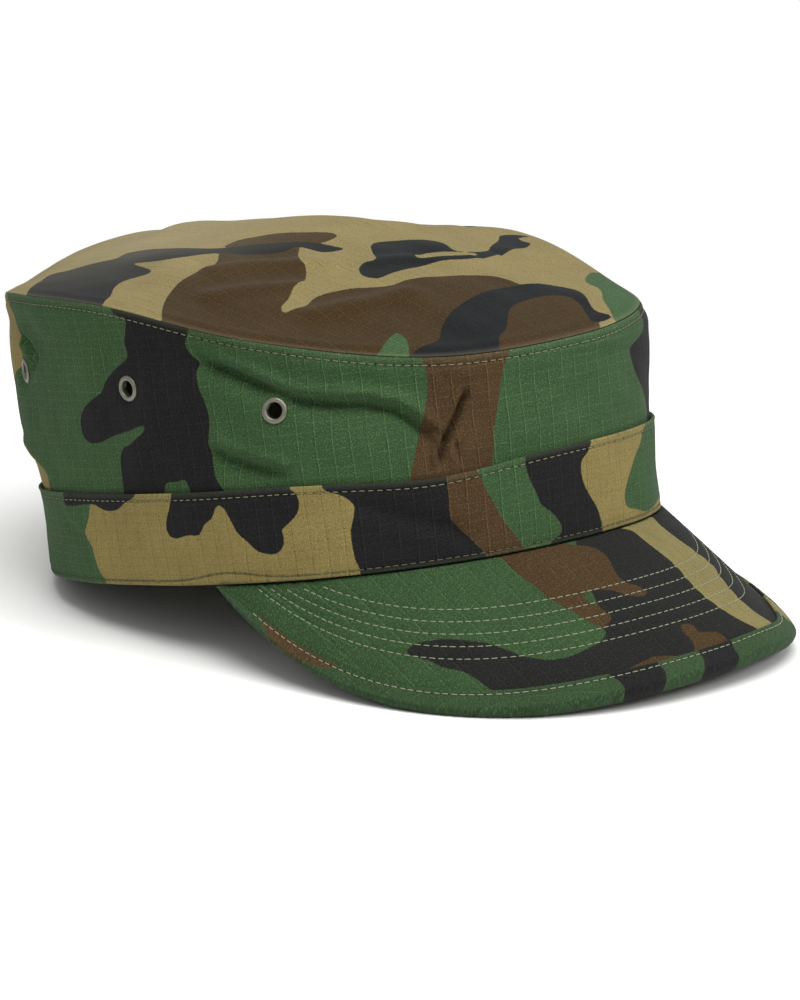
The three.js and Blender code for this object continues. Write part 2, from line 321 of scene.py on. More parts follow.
def visor_point(across, out, height, beyond=0.0):
    """A point in the visor's thickness, at a height above or below its middle."""
    inset = binding_cloth + binding_gap + left_trim * bump_at(across, left_trim_place, left_trim_width)
    lift = left_lift * bump_at(across, left_lift_place, left_lift_width) * out**2
    raised = visor_thickness / 2 * (out - 1) + height + lift
    shift = beyond - inset * out
    point = visor_sheet(across, out) + visor_normal(across, out) * raised[..., None]
    point = point + edge_direction(across) * shift[..., None]
    point[..., 2] = np.minimum(point[..., 2], 0.0) - clearance
    return point


# How the cap lies: tipped back until the visor's edge and the rear of the hem are level


def rest_tilt():
    across = np.linspace(-visor_corner, visor_corner, 161)
    edge = np.ones_like(across)
    inner = visor_thickness / 2 + binding_gap
    fold = binding_gap + binding_cloth
    corners = [
        visor_point(across, edge, -inner / 2 * edge, fold * edge),
        visor_point(across, edge, -(inner + binding_cloth) * edge, 0.0 * edge),
    ]
    rear = hem_back + band_face
    return max(float(np.max(np.arctan2(-p[..., 2], rear - p[..., 1]))) for p in corners)


tilt = rest_tilt()
top_low, top_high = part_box("crown_top")
hem_centre = np.array([
    (top_low[0] + top_high[0]) / 2 / MILLIMETRE - rim_shift,
    top_high[1] / MILLIMETRE - rim_back * math.cos(tilt) - crown_back_height * math.sin(tilt),
    (hem_back + band_face) * math.sin(tilt) - pressed,
])
lying = np.array([
    [1.0, 0.0, 0.0],
    [0.0, math.cos(tilt), math.sin(tilt)],
    [0.0, -math.sin(tilt), math.cos(tilt)],
])


def laid_down(points):
    """From the cap's own frame to the part's frame, in millimetres."""
    return points @ lying.T + hem_centre


def pressed_flat(points):
    """Cloth that would reach through the floor is pressed flat on it."""
    laid = laid_down(points)
    laid[..., 2] = np.maximum(laid[..., 2], floor_gap)
    return laid


# Camera: a long lens before the cap's front right, aimed beside the head opening's centre

camera_turn = 43.32
camera_rise = 14.41
camera_distance = 1567.0
camera_lens = 185.65
camera_sensor = 36.0
aim_right = 13.67
aim_up = 11.39
photo_width = 800
photo_height = 1000

camera_back = np.array([
    -math.sin(math.radians(camera_turn)) * math.cos(math.radians(camera_rise)),
    -math.cos(math.radians(camera_turn)) * math.cos(math.radians(camera_rise)),
    math.sin(math.radians(camera_rise)),
])
camera_right = np.array([
    math.cos(math.radians(camera_turn)),
    -math.sin(math.radians(camera_turn)),
    0.0,
])
camera_top = np.cross(camera_back, camera_right)
camera_aim = hem_centre + camera_right * aim_right + np.array([0.0, 0.0, aim_up])
camera_place = camera_aim + camera_back * camera_distance


def photo_place(points):
    """Where a point of the cap falls in the photo's frame of 800 by 1000 pixels."""
    away = laid_down(points) - camera_place
    depth = -(away @ camera_back)
    focal = camera_lens / camera_sensor * photo_height
    across = photo_width / 2 + focal * (away @ camera_right) / depth
    down = photo_height / 2 - focal * (away @ camera_top) / depth
    return np.stack([across, down], -1)


def add_camera():
    data = bpy.data.cameras.new("camera")
    data.lens = camera_lens
    data.sensor_width = camera_sensor
    data.clip_start = 0.1
    data.clip_end = 20
    camera = bpy.data.objects.new("camera", data)
    turned = np.stack([camera_right, camera_top, camera_back], -1)
    camera.matrix_world = Matrix.Translation(camera_place * MILLIMETRE) @ Matrix(turned).to_4x4()
    bpy.context.scene.collection.objects.link(camera)
    bpy.context.scene.camera = camera


# Panels: each has its face, and a flat measure in millimetres for its print and its weave. first
# and second are the lowest and highest of its two coordinates, and how many places a search of the
# face starts from.


def arc_length(turn):
    """Length along the middle of the wall from the front centre."""
    turns = np.linspace(-np.pi * 1.2, np.pi * 1.2, 2401)
    lengths = run_lengths(wall_outline(turns, np.full_like(turns, 0.5)))
    lengths = lengths - np.interp(0.0, turns, lengths)
    return np.interp(turn, turns, lengths)


def wall_face(turn, height):
    turn = np.radians(turn)
    return wall_point(turn, height / rim_height(turn), np.full_like(turn, -wall_inset))


def band_outer_face(turn, height):
    turn = np.radians(turn)
    return wall_point(turn, height / rim_height(turn), np.full_like(turn, band_face))


def wall_flat(turn, height):
    return np.stack([arc_length(np.radians(turn)), height], -1)


def top_face(turn, reach):
    return top_point(np.radians(turn), reach)


def top_flat(turn, reach):
    return top_point(np.radians(turn), reach)[..., :2]


def visor_face(across, out):
    return visor_point(across, out, np.full_like(across, visor_thickness / 2))


def visor_flat(across, out):
    sheet = visor_sheet(across, out)
    stretch = 1 / math.cos(math.radians(visor_slope))
    return np.stack([sheet[..., 0], -sheet[..., 1] * stretch], -1)


panel_rows = table(
    "name face flat first second",
    ("wall", wall_face, wall_flat, (-70, 160, 116), (0, 100, 51)),
    ("band", band_outer_face, wall_flat, (-70, 160, 116), (-6, 36, 22)),
    ("top", top_face, top_flat, (-180, 180, 181), (0, 1.12, 45)),
    ("visor", visor_face, visor_flat, (-0.97, 0.97, 120), (0, 1.1, 45)),
)
panels = {row["name"]: row for row in panel_rows}

search_tries = 13
search_rounds = 3
search_narrowing = 5
inside_cap = np.array([0.0, 0.0, 20.0])


def facing_camera(panel, first, second):
    """Whether the panel's outer side faces the camera at each place."""
    step_share = 1e-3
    step_a = step_share * (panel["first"][1] - panel["first"][0])
    step_b = step_share * (panel["second"][1] - panel["second"][0])
    here = panel["face"](first, second)
    along = panel["face"](first + step_a, second) - here
    up = panel["face"](first, second + step_b) - here
    normal = np.cross(along, up)
    normal = normal * np.sign(np.sum(normal * (here - inside_cap), -1))[..., None]
    return np.sum((normal @ lying.T) * (camera_place - laid_down(here)), -1) > 0


def from_photo(panel, pixels):
    """The panel's own two coordinates under each pixel, by a search that is narrowed in rounds."""
    axes = [np.linspace(low, high, count) for low, high, count in (panel["first"], panel["second"])]
    first, second = np.meshgrid(*axes, indexing="ij")
    shown = photo_place(panel["face"](first, second))
    shown[~facing_camera(panel, first, second)] = 1e6
    found = []
    for pixel in np.asarray(pixels, float):
        near = np.argmin(((shown - pixel) ** 2).sum(-1))
        place = [first.flat[near], second.flat[near]]
        reach = [axis[1] - axis[0] for axis in axes]
        for _ in range(search_rounds):
            tries = [
                np.clip(middle + np.linspace(-size, size, search_tries), axis[0], axis[-1])
                for middle, size, axis in zip(place, reach, axes)
            ]
            fine = np.meshgrid(*tries, indexing="ij")
            best = np.argmin(((photo_place(panel["face"](*fine)) - pixel) ** 2).sum(-1))
            place = [grid.flat[best] for grid in fine]
            reach = [size / search_narrowing for size in reach]
        found.append(place)
    return np.array(found)


def panel_line(panel, row):
    """A line charted on the photo, then on the panel where the photo doesn't show it, laid flat."""
    parts = []
    if row.get("photo"):
        parts.append(from_photo(panel, row["photo"]))
    if row.get("panel"):
        parts.append(np.array(row["panel"], float))
    places = np.concatenate(parts)
    return panel["flat"](places[:, 0], places[:, 1])


# Prints. Each patch is charted: photo holds pixels of the photo's 800 by 1000 frame, and
# panel goes on where the photo doesn't show the cloth, in the panel's own two coordinates. Later
# patches lie over earlier ones.

print_order = {"tan": 0, "green": 1, "brown": 2, "black": 3}
print_reach = 5.0


def patch(name, colour, photo=(), panel=()):
    return {"name": name, "colour": colour, "photo": photo, "panel": panel}

wall_print = [
    patch("rear_tan_upper", "tan", photo=[
        (14, 318), (19, 330), (22, 345), (23, 356), (22, 370), (20, 385), (17, 394),
    ], panel=[
        (136, 50), (146, 48), (156, 58), (166, 74), (160, 92), (142, 98), (130, 92),
    ]),
    patch("rear_tan_lower", "tan", photo=[
        (26, 437), (32, 447), (40, 465), (45, 480), (50, 497),
    ], panel=[
        (119, 10), (150, 4), (163, 22), (158, 38), (144, 45),
    ]),
    patch("front_stripe", "brown", photo=[
        (422, 346), (427, 377), (427, 397), (424, 411), (420, 431), (417, 444), (414, 460), (412, 488),
        (492, 488), (492, 466), (493, 441), (494, 424), (498, 397), (502, 369), (508, 344),
    ]),
    patch("hook", "black", photo=[
        (111, 303), (115, 313), (128, 319), (127, 330), (124, 342), (127, 357), (116, 368), (106, 381),
        (102, 392), (92, 400), (83, 410), (80, 422), (83, 436), (91, 443), (102, 442), (111, 437),
        (129, 431), (139, 427), (146, 425), (146, 430), (139, 437), (133, 443), (123, 450), (121, 460),
        (122, 476), (124, 491), (128, 520), (222, 520), (224, 491), (218, 483), (214, 474), (211, 458),
        (208, 447), (208, 417), (205, 403), (199, 388), (196, 372), (198, 364), (191, 356), (186, 345),
        (189, 332), (192, 318),
    ]),
    patch("hook_gap", "green", photo=[
        (166, 484), (176, 482), (185, 480), (190, 490), (191, 504), (166, 504),
    ]),
    patch("left_strip", "black", photo=[
        (630, 298), (638, 315), (640, 328), (636, 339), (630, 349), (631, 361), (636, 376), (642, 390),
        (647, 405), (648, 424), (650, 440),
    ], panel=[
        (-50, 14), (-62, 24), (-72, 38), (-66, 52), (-72, 68), (-60, 84), (-46, 84),
    ]),
    patch("left_brown", "brown", panel=[
        (-78, -8), (-74, 14), (-82, 34), (-78, 50), (-88, 62), (-99, 58), (-106, 42), (-101, 24),
        (-109, 6), (-106, -8),
    ]),
    patch("left_tan", "tan", panel=[
        (-100, 104), (-98, 84), (-108, 68), (-120, 60), (-133, 64), (-129, 80), (-138, 104),
    ]),
    patch("left_rear_black", "black", panel=[
        (-120, -8), (-116, 10), (-124, 24), (-118, 38), (-129, 48), (-143, 40), (-147, 23), (-158, 12),
        (-154, -8),
    ]),
    patch("back_black", "black", panel=[
        (-160, 104), (-166, 80), (-157, 62), (-166, 46), (-190, 38), (-192, 104),
    ]),
    patch("back_brown", "brown", panel=[
        (174, 104), (169, 82), (173, 62), (165, 44), (171, 28), (190, 16), (192, 104),
    ]),
]

band_print = [
    patch("rear_green", "green", photo=[
        (88, 496), (88, 524), (87, 534), (94, 547), (96, 559), (99, 569), (105, 584),
    ], panel=[
        (103, -8), (152, -8), (156, 12), (148, 36), (112, 36),
    ]),
    patch("edge_black", "black", photo=[
        (64, 503), (72, 506), (87, 504), (96, 505), (102, 509), (110, 511), (118, 509), (123, 504),
        (131, 499), (137, 494), (148, 490), (146, 480), (100, 480), (62, 486),
    ]),
    patch("lobes", "black", photo=[
        (171, 480), (171, 492), (169, 508), (166, 522), (167, 531), (171, 537), (179, 538), (188, 535),
        (199, 535), (205, 524), (212, 518), (216, 507), (219, 505), (224, 509), (230, 519), (237, 532),
        (248, 542), (258, 551), (269, 554), (277, 553), (283, 547), (284, 538), (282, 530), (289, 523),
        (296, 515), (299, 506), (297, 496), (291, 490), (283, 484), (276, 472), (222, 474),
    ]),
    patch("middle_black", "black", photo=[
        (318, 474), (324, 490), (337, 494), (348, 499), (354, 506), (354, 516), (351, 530), (353, 549),
        (356, 561), (360, 569), (364, 584), (430, 586), (505, 566), (489, 555), (470, 535), (470, 460),
    ]),
    patch("front_black", "black", photo=[
        (516, 446), (596, 428), (592, 440), (589, 450), (582, 460), (581, 469), (584, 483), (590, 495),
        (597, 507), (601, 519), (603, 530), (604, 544), (520, 562), (505, 520),
    ]),
    patch("front_brown", "brown", photo=[
        (449, 462), (449, 499), (450, 517), (459, 528), (471, 539), (481, 548), (492, 562), (536, 556),
        (532, 540), (518, 516), (500, 480), (494, 456),
    ]),
    patch("front_green", "green", photo=[
        (474, 462), (478, 472), (485, 487), (494, 504), (503, 520), (515, 535), (530, 551), (544, 549),
        (553, 541), (561, 534), (562, 527), (557, 518), (550, 511), (541, 504), (536, 492), (531, 482),
        (526, 466), (524, 448),
    ]),
    patch("left_green", "green", photo=[
        (648, 418), (644, 430), (641, 442), (635, 457), (631, 470), (627, 484), (625, 496), (627, 506),
        (636, 509), (648, 511),
    ], panel=[
        (-36, 4), (-58, 2), (-62, 18), (-52, 36), (-34, 36),
    ]),
    patch("left_brown", "brown", panel=[
        (-68, -8), (-65, 10), (-74, 21), (-72, 36), (-93, 36), (-97, 21), (-89, 8), (-95, -8),
    ]),
    patch("left_black", "black", panel=[
        (-104, 36), (-101, 22), (-111, 12), (-109, -8), (-132, -8), (-130, 8), (-139, 19), (-134, 36),
    ]),
    patch("back_green", "green", panel=[
        (-146, -8), (-150, 10), (-158, 20), (-154, 36), (-192, 36), (-192, -8),
    ]),
    patch("back_brown", "brown", panel=[(160, 36), (162, 20), (170, 9), (192, 4), (192, 36)]),
]

top_print = [
    patch("far_lens", "brown", photo=[
        (224, 244), (237, 238), (264, 233), (304, 231), (333, 231), (337, 235), (324, 240), (290, 246),
    ]),
    patch("big_brown", "brown", photo=[
        (163, 332), (162, 318), (163, 305), (169, 293), (178, 284), (194, 274), (210, 267), (217, 261),
        (224, 250), (260, 244), (297, 243), (298, 254), (300, 262), (305, 266), (306, 275), (302, 284),
        (294, 290), (288, 300), (281, 309), (285, 312), (292, 310), (305, 306), (314, 298), (331, 292),
        (348, 288), (371, 286), (391, 284), (407, 280), (440, 276), (467, 275), (494, 275), (511, 280),
        (523, 285), (551, 290), (574, 296), (584, 304), (592, 314), (600, 326), (590, 345), (500, 378),
        (400, 382), (300, 374), (200, 350),
    ]),
    patch("long_slate", "black", photo=[
        (28, 292), (36, 285), (51, 277), (75, 269), (99, 262), (116, 259), (127, 253), (147, 249),
        (174, 247), (209, 246), (223, 245), (257, 241), (289, 240), (310, 240), (329, 243), (344, 247),
        (332, 249), (319, 249), (297, 246), (284, 249), (257, 250), (223, 253), (190, 256), (160, 261),
        (134, 264), (150, 269), (149, 272), (129, 278), (115, 286), (110, 296), (102, 305), (96, 318),
        (60, 308), (26, 300),
    ]),
    patch("middle_slate", "black", photo=[
        (371, 246), (377, 241), (400, 239), (425, 239), (440, 243), (455, 250), (470, 252), (485, 252),
        (491, 248), (498, 243), (501, 237), (512, 236), (529, 239), (518, 241), (522, 245), (529, 248),
        (506, 253), (491, 257), (472, 260), (447, 262), (434, 263), (407, 269), (392, 273), (377, 278),
        (365, 276), (359, 269), (364, 263), (375, 262),
    ]),
    patch("slate_gap", "tan", photo=[
        (424, 251), (416, 260), (440, 259), (470, 257), (477, 254), (450, 251),
    ]),
    patch("slate_arc", "black", photo=[
        (404, 362), (413, 353), (425, 346), (438, 340), (442, 326), (452, 312), (466, 301), (487, 292),
        (504, 286), (527, 284), (551, 284), (574, 290), (584, 298), (592, 309), (600, 314), (611, 316),
        (604, 321), (592, 322), (587, 316), (580, 306), (568, 298), (547, 296), (525, 300), (511, 307),
        (508, 318), (506, 328), (500, 336), (499, 346), (502, 362), (450, 372),
    ]),
    patch("green_tip", "green", photo=[
        (374, 362), (381, 350), (392, 336), (397, 333), (404, 337), (408, 345), (409, 358), (408, 374),
    ]),
    patch("left_green", "green", photo=[
        (618, 322), (611, 314), (604, 302), (599, 289), (587, 284), (585, 280), (589, 276), (599, 273),
    ], panel=[
        (-80, 1.1), (-60, 1.14), (-40, 1.14), (-30, 1.1),
    ]),
    patch("far_black", "black", panel=[
        (-100, 1.12), (-98, 0.86), (-108, 0.68), (-104, 0.48), (-118, 0.42), (-127, 0.6), (-120, 0.8),
        (-124, 1.12),
    ]),
    patch("far_green", "green", panel=[
        (-140, 1.12), (-136, 0.86), (-146, 0.64), (-140, 0.46), (-154, 0.4), (-165, 0.55), (-160, 0.76),
        (-168, 0.95), (-164, 1.12),
    ]),
]

visor_print = [
    patch("front_black", "black", photo=[
        (604, 628), (606, 634), (602, 640), (594, 645), (582, 651), (568, 657), (549, 660), (533, 658),
        (521, 655), (507, 650), (491, 644), (470, 641), (449, 639), (428, 641), (412, 645), (407, 651),
        (412, 656), (428, 660), (442, 667), (464, 672), (479, 681), (490, 689), (499, 693), (519, 693),
        (540, 691), (568, 686), (591, 680), (612, 677), (625, 690), (665, 690), (705, 680), (745, 668),
        (785, 655), (782, 634), (751, 596), (713, 559), (695, 541), (669, 514), (652, 506), (600, 520),
        (575, 530), (580, 560), (596, 600), (606, 618),
    ]),
    patch("left_black", "black", photo=[
        (656, 512), (680, 532), (700, 548), (720, 570), (742, 596), (764, 614), (778, 628),
    ], panel=[
        (-0.5, 0.95), (-0.58, 0.7), (-0.66, 0.4), (-0.6, -0.05), (-0.4, -0.1),
    ]),
    patch("left_stripe", "tan", photo=[
        (630, 516), (652, 517), (660, 525), (677, 538), (697, 552), (711, 563), (723, 580), (741, 600),
        (758, 614), (772, 623), (780, 634), (772, 636), (756, 628), (736, 618), (716, 605), (702, 594),
        (688, 580), (677, 567), (663, 555), (646, 542), (632, 531), (618, 526),
    ]),
    patch("front_brown", "brown", photo=[
        (494, 548), (505, 560), (510, 567), (520, 576), (534, 585), (547, 597), (568, 609), (587, 620),
        (598, 626), (605, 626), (611, 619), (610, 614), (601, 608), (591, 602), (584, 597), (589, 591),
        (598, 589), (611, 590), (629, 595), (643, 596), (647, 592), (641, 587), (623, 580), (615, 571),
        (610, 561), (603, 553), (592, 547), (574, 545), (556, 536), (520, 540),
    ]),
    patch("edge_brown", "brown", photo=[
        (628, 670), (636, 665), (646, 660), (657, 656), (681, 658), (668, 672), (640, 680),
    ]),
    patch("left_edge_brown", "brown", photo=[
        (681, 625), (693, 625), (698, 631), (718, 632), (725, 637), (731, 650), (712, 664), (696, 662),
        (694, 646), (690, 639), (683, 632),
    ]),
    patch("left_brown", "brown", panel=[
        (-0.66, -0.1), (-0.68, 0.3), (-0.74, 0.55), (-0.82, 0.62), (-0.9, 0.3), (-0.9, -0.1),
    ]),
]

binding_print = [
    patch("right_brown", "brown", photo=[
        (256, 600), (270, 612), (287, 625), (307, 642), (326, 654), (343, 665), (335, 669), (319, 669),
        (304, 662), (284, 649), (270, 635), (262, 620),
    ]),
    patch("lip_black", "black", photo=[
        (354, 670), (366, 665), (376, 668), (392, 681), (372, 677), (362, 675),
    ]),
    patch("front_black", "black", photo=[
        (608, 676), (616, 682), (622, 688), (626, 697), (628, 706), (668, 698), (665, 684), (664, 675),
        (658, 667), (652, 660), (630, 664),
    ]),
    patch("left_black", "black", photo=[
        (697, 652), (702, 662), (703, 671), (700, 686), (738, 674), (737, 660), (732, 651), (728, 642),
    ]),
    patch("far_tan", "tan", panel=[
        (-0.47, 0.86), (-0.46, 1.08), (-0.5, 1.15), (-0.55, 1.15), (-0.68, 1.15), (-0.74, 1.0),
        (-0.66, 0.84), (-0.52, 0.82),
    ]),
    patch("far_black", "black", panel=[
        (-0.58, 0.8), (-0.57, 1.0), (-0.6, 1.15), (-0.66, 1.15), (-0.64, 0.98), (-0.66, 0.8),
    ]),
    patch("far_brown", "brown", panel=[
        (-0.82, 0.6), (-0.79, 0.95), (-0.83, 1.2), (-0.93, 1.3), (-0.95, 0.5),
    ]),
]

underside_print = [
    patch("right_black", "black", panel=[
        (0.34, -0.1), (0.3, 0.3), (0.42, 0.55), (0.36, 0.9), (0.5, 1.1), (0.7, 0.8), (0.62, 0.4),
        (0.56, -0.1),
    ]),
    patch("middle_tan", "tan", panel=[
        (0.16, 1.1), (0.2, 0.75), (0.08, 0.5), (0.14, 0.25), (-0.04, 0.15), (-0.12, 0.5), (-0.04, 0.8),
        (-0.1, 1.1),
    ]),
    patch("middle_brown", "brown", panel=[
        (-0.16, -0.1), (-0.2, 0.35), (-0.14, 0.65), (-0.26, 0.9), (-0.42, 0.75), (-0.36, 0.4),
        (-0.44, -0.1),
    ]),
    patch("left_black", "black", panel=[
        (-0.58, -0.1), (-0.54, 0.35), (-0.64, 0.6), (-0.56, 1.1), (-0.8, 1.1), (-0.82, 0.4),
        (-0.76, -0.1),
    ]),
    patch("right_brown", "brown", panel=[
        (0.74, -0.1), (0.72, 0.4), (0.8, 0.7), (0.92, 0.6), (0.94, -0.1),
    ]),
]


def smooth_loop(points, pieces=5):
    """A closed curve through the points that doesn't swing out where they are unevenly spaced."""
    a, b, c, d = (np.roll(points, shift, axis=0) for shift in (1, 0, -1, -2))

    def knot(start, end):
        return np.maximum(np.linalg.norm(end - start, axis=1, keepdims=True), 1e-3) ** 0.5

    t1 = knot(a, b)
    t2 = t1 + knot(b, c)
    t3 = t2 + knot(c, d)
    curve = []
    for share in np.arange(pieces) / pieces:
        t = t1 + (t2 - t1) * share
        ab = (a * (t1 - t) + b * t) / t1
        bc = (b * (t2 - t) + c * (t - t1)) / (t2 - t1)
        cd = (c * (t3 - t) + d * (t - t2)) / (t3 - t2)
        abc = (ab * (t2 - t) + bc * t) / t2
        bcd = (bc * (t3 - t) + cd * (t - t1)) / (t3 - t1)
        curve.append((abc * (t2 - t) + bcd * (t - t1)) / (t2 - t1))
    return np.stack(curve, 1).reshape(-1, 2)


def signed_distance(points, loop):
    """Distance to a closed loop, negative inside it."""
    nearest = np.full(len(points), np.inf)
    inside = np.zeros(len(points), bool)
    for start, end in zip(loop, np.roll(loop, -1, axis=0)):
        edge = end - start
        away = points - start
        share = np.clip(away @ edge / max(edge @ edge, 1e-9), 0, 1)
        nearest = np.minimum(nearest, ((away - share[:, None] * edge) ** 2).sum(-1))
        crossed = (start[1] > points[:, 1]) != (end[1] > points[:, 1])
        if start[1] != end[1]:
            inside ^= crossed & (points[:, 0] < start[0] + away[:, 1] * edge[0] / edge[1])
    return np.where(inside, -1.0, 1.0) * np.sqrt(nearest)


def print_distances(panel, rows, base, flat):
    """Distances to the green, brown and black cloth, each with all that is darker.

    They are negative inside, and are cut off at print_reach, past which no print looks at them.
    """
    points = flat.reshape(-1, 2)
    distances = np.full((3, len(points)), print_reach)
    distances[:print_order[base]] = -print_reach
    for row in rows:
        loop = smooth_loop(panel_line(panel, row))
        middle = (loop.min(0) + loop.max(0)) / 2
        near = np.all(np.abs(points - middle) < np.ptp(loop, 0) / 2 + print_reach, 1)
        apart = np.full(len(points), print_reach)
        apart[near] = np.clip(signed_distance(points[near], loop), -print_reach, print_reach)
        for level in range(3):
            if print_order[row["colour"]] > level:
                distances[level] = np.minimum(distances[level], apart)
            else:
                distances[level] = np.maximum(distances[level], -apart)
    return distances.reshape(3, *flat.shape[:-1])


# Wear of the cloth: creases charted on the photo, and soft crumples

# The noise of a crumple repeats after this many cells, and starts far enough in to stay positive
crumple_cells = 64
crumple_start = 1000.0

# A crease fades out over this share of its length at each end. A pressed valley has a sharper
# bottom than a raised ridge has a crest, and the soft ridge beside it is this many widths away.
crease_taper = 0.14
valley_sharpness = 1.4
ridge_sharpness = 2.0
ridge_beside = 1.9


def smooth_step(low, high, value):
    share = np.clip((value - low) / (high - low), 0, 1)
    return share * share * (3 - 2 * share)


def crumple(places, size, seed):
    """Soft noise between -1 and 1 over flat places, with bumps about as wide as size."""
    grid = np.random.default_rng(seed).uniform(-1, 1, (crumple_cells, crumple_cells))
    place = places / size + crumple_start
    cell = np.floor(place).astype(int)
    share = place - cell
    share = share**3 * (share * (share * 6 - 15) + 10)

    def along_row(step):
        row = (cell[..., 1] + step) % crumple_cells
        left = grid[cell[..., 0] % crumple_cells, row]
        right = grid[(cell[..., 0] + 1) % crumple_cells, row]
        return left * (1 - share[..., 0]) + right * share[..., 0]

    return along_row(0) * (1 - share[..., 1]) + along_row(1) * share[..., 1]


def crease_height(panel, row, flat):
    """A crease pressed in along a line, with a ridge beside it, fading out at both ends."""
    line = panel_line(panel, row)
    lengths = run_lengths(line)
    points = flat.reshape(-1, 2)
    nearest = np.full(len(points), np.inf)
    side = np.zeros(len(points))
    along = np.zeros(len(points))
    for start, end, low, high in zip(line[:-1], line[1:], lengths[:-1], lengths[1:]):
        edge = end - start
        away = points - start
        share = np.clip(away @ edge / max(edge @ edge, 1e-9), 0, 1)
        miss = np.linalg.norm(away - share[:, None] * edge, axis=1)
        closer = miss < nearest
        nearest = np.where(closer, miss, nearest)
        side = np.where(closer, edge[0] * away[:, 1] - edge[1] * away[:, 0], side)
        along = np.where(closer, low + share * (high - low), along)
    share = along / lengths[-1]
    taper = smooth_step(0, crease_taper, share) * smooth_step(0, crease_taper, 1 - share)
    width = row["width"]
    sharpness = valley_sharpness if row["depth"] > 0 else ridge_sharpness
    valley = -np.exp(-((nearest / width) ** sharpness))
    ridge = row["ridge"] * bump_at(np.sign(side) * nearest, ridge_beside * width, width)
    return (row["depth"] * taper * (valley + ridge)).reshape(flat.shape[:-1])


wall_creases = table(
    "name depth width ridge photo",
    ("long_valley", 3.5, 1.9, 0.55, [
        (441, 456), (433, 444), (424, 433), (411, 421), (394, 411), (365, 405), (330, 405), (300, 402),
        (283, 397), (262, 387), (240, 377), (213, 367), (186, 352),
    ]),
    ("hem_valley", 2.8, 2.0, 0.5, [(292, 479), (270, 472), (250, 466), (228, 459), (205, 446)]),
    ("front_pucker", 3.7, 0.95, 0.5, [
        (467, 386), (464, 396), (458, 410), (452, 424), (445, 438), (441, 450), (440, 464), (440, 476),
    ]),
    ("front_pucker_low", 1.5, 1.0, 0.4, [(456, 440), (457, 452), (461, 464), (464, 478)]),
    ("valley_end", 1.2, 1.2, 0.4, [(424, 433), (434, 430), (443, 436), (450, 446)]),
    ("corner_crease", 2.0, 1.3, 0.4, [(19, 332), (27, 344), (34, 358), (30, 370), (26, 384)]),
    ("rear_ridge", -1.2, 2.6, 0.4, [(25, 436), (45, 465), (60, 490)]),
    ("front_tuck", 0.5, 1.2, -0.4, [(500, 358), (540, 358), (580, 351), (612, 350), (642, 349)]),
    ("pucker_1", 0.5, 1.3, 0.5, [(436, 360), (440, 372), (447, 386)]),
    ("pucker_2", 0.5, 1.3, 0.5, [(482, 358), (480, 372), (476, 384)]),
    ("pucker_3", 0.4, 1.5, 0.5, [(300, 355), (303, 366), (309, 378)]),
)

band_creases = table(
    "name depth width ridge photo",
    ("front_fold", 0.7, 2.4, 0.4, [(345, 500), (380, 512), (415, 520), (453, 528), (480, 550)]),
    ("rear_ridge", -0.9, 2.6, 0.4, [(58, 498), (72, 515), (85, 527), (95, 547), (100, 565), (106, 584)]),
)

top_creases = table(
    "name depth width ridge photo",
    ("rear_ridge", -1.5, 4.2, 0.45, [(190, 273), (230, 268), (262, 263), (300, 262), (345, 262)]),
    ("middle_ridge", -1.3, 4.2, 0.45, [(195, 301), (240, 292), (280, 288), (315, 284)]),
    ("front_ridge", -1.4, 4.4, 0.45, [(295, 317), (335, 310), (380, 300), (425, 289)]),
    ("slate_ridge", -0.9, 4.0, 0.45, [(355, 262), (400, 260), (440, 259), (485, 258)]),
    ("left_valley", 0.9, 4.0, 0.3, [(490, 253), (540, 262), (590, 277)]),
)

# Wide soft swells and hollows, in millimetres
top_swells = table(
    "name wide depth photo",
    ("left_swell", 20, 2.4, [(578, 262)]),
    ("rear_swell", 28, 1.5, [(70, 264)]),
)
side_swells = table(
    "name turn height wide tall depth",
    ("rear_hollow", 143, 24, 22, 13, -3.6),
    ("rear_swell", 133, 52, 20, 17, 1.8),
    ("left_swell", -50, 52, 26, 16, 1.8),
    ("left_band_hollow", -50, 14, 24, 16, -2.3),
)

# Where a painted sheen washes the top lightest: its place, width and strength
top_painted_sheen = {"photo": [(150, 238)], "wide": 42, "strength": 0.15}

# Soft crumples, squeezed in the panel's two directions
wall_crumples = table(
    "depth size squeeze seed",
    (0.75, 18.0, (1.0, 1.3), 1),
    (0.38, 8.0, (1.0, 1.0), 2),
)
band_crumples = table(
    "depth size squeeze seed",
    (0.22, 17.0, (1.0, 1.6), 11),
    (0.08, 6.0, (1.0, 1.0), 12),
)
top_crumples = table(
    "depth size squeeze seed",
    (0.5, 24.0, (1.0, 0.5), 21),
    (0.6, 10.0, (1.0, 0.6), 22),
)
visor_crumples = table("depth size squeeze seed", (0.12, 15.0, (1.0, 1.0), 31))

# How much of the solids' main folds is kept under the creases that are charted here
fold_share = 0.6

# Where the wear fades in: low and high distance from a seam, an eyelet, the band and the binding
wear_from_seam = (-1.0, 8.0)
wear_from_eyelet = (3.6, 7.5)
wear_from_band = (0.5, 7.0)
wear_from_binding = (5.0, 12.0)
top_wear_ends = (0.86, 0.99)

# Seam round the top: the wall's cloth is turned in as a welt, and the top is laid over its edge
wall_tuck = 0.3
welt = 0.8
welt_edge = 0.55
welt_round = 1.4
welt_outside = (3.5, 9.0)
welt_inside = (4.0, 1.8)
top_tuck = 0.3
top_edge_cloth = 0.36
top_thinning = (5.0, 1.0)
top_welt = 0.3
top_welt_place = 4.0
top_welt_width = 1.6
top_edge_drop = 0.12
top_edge_round = (2.2, 0.6)

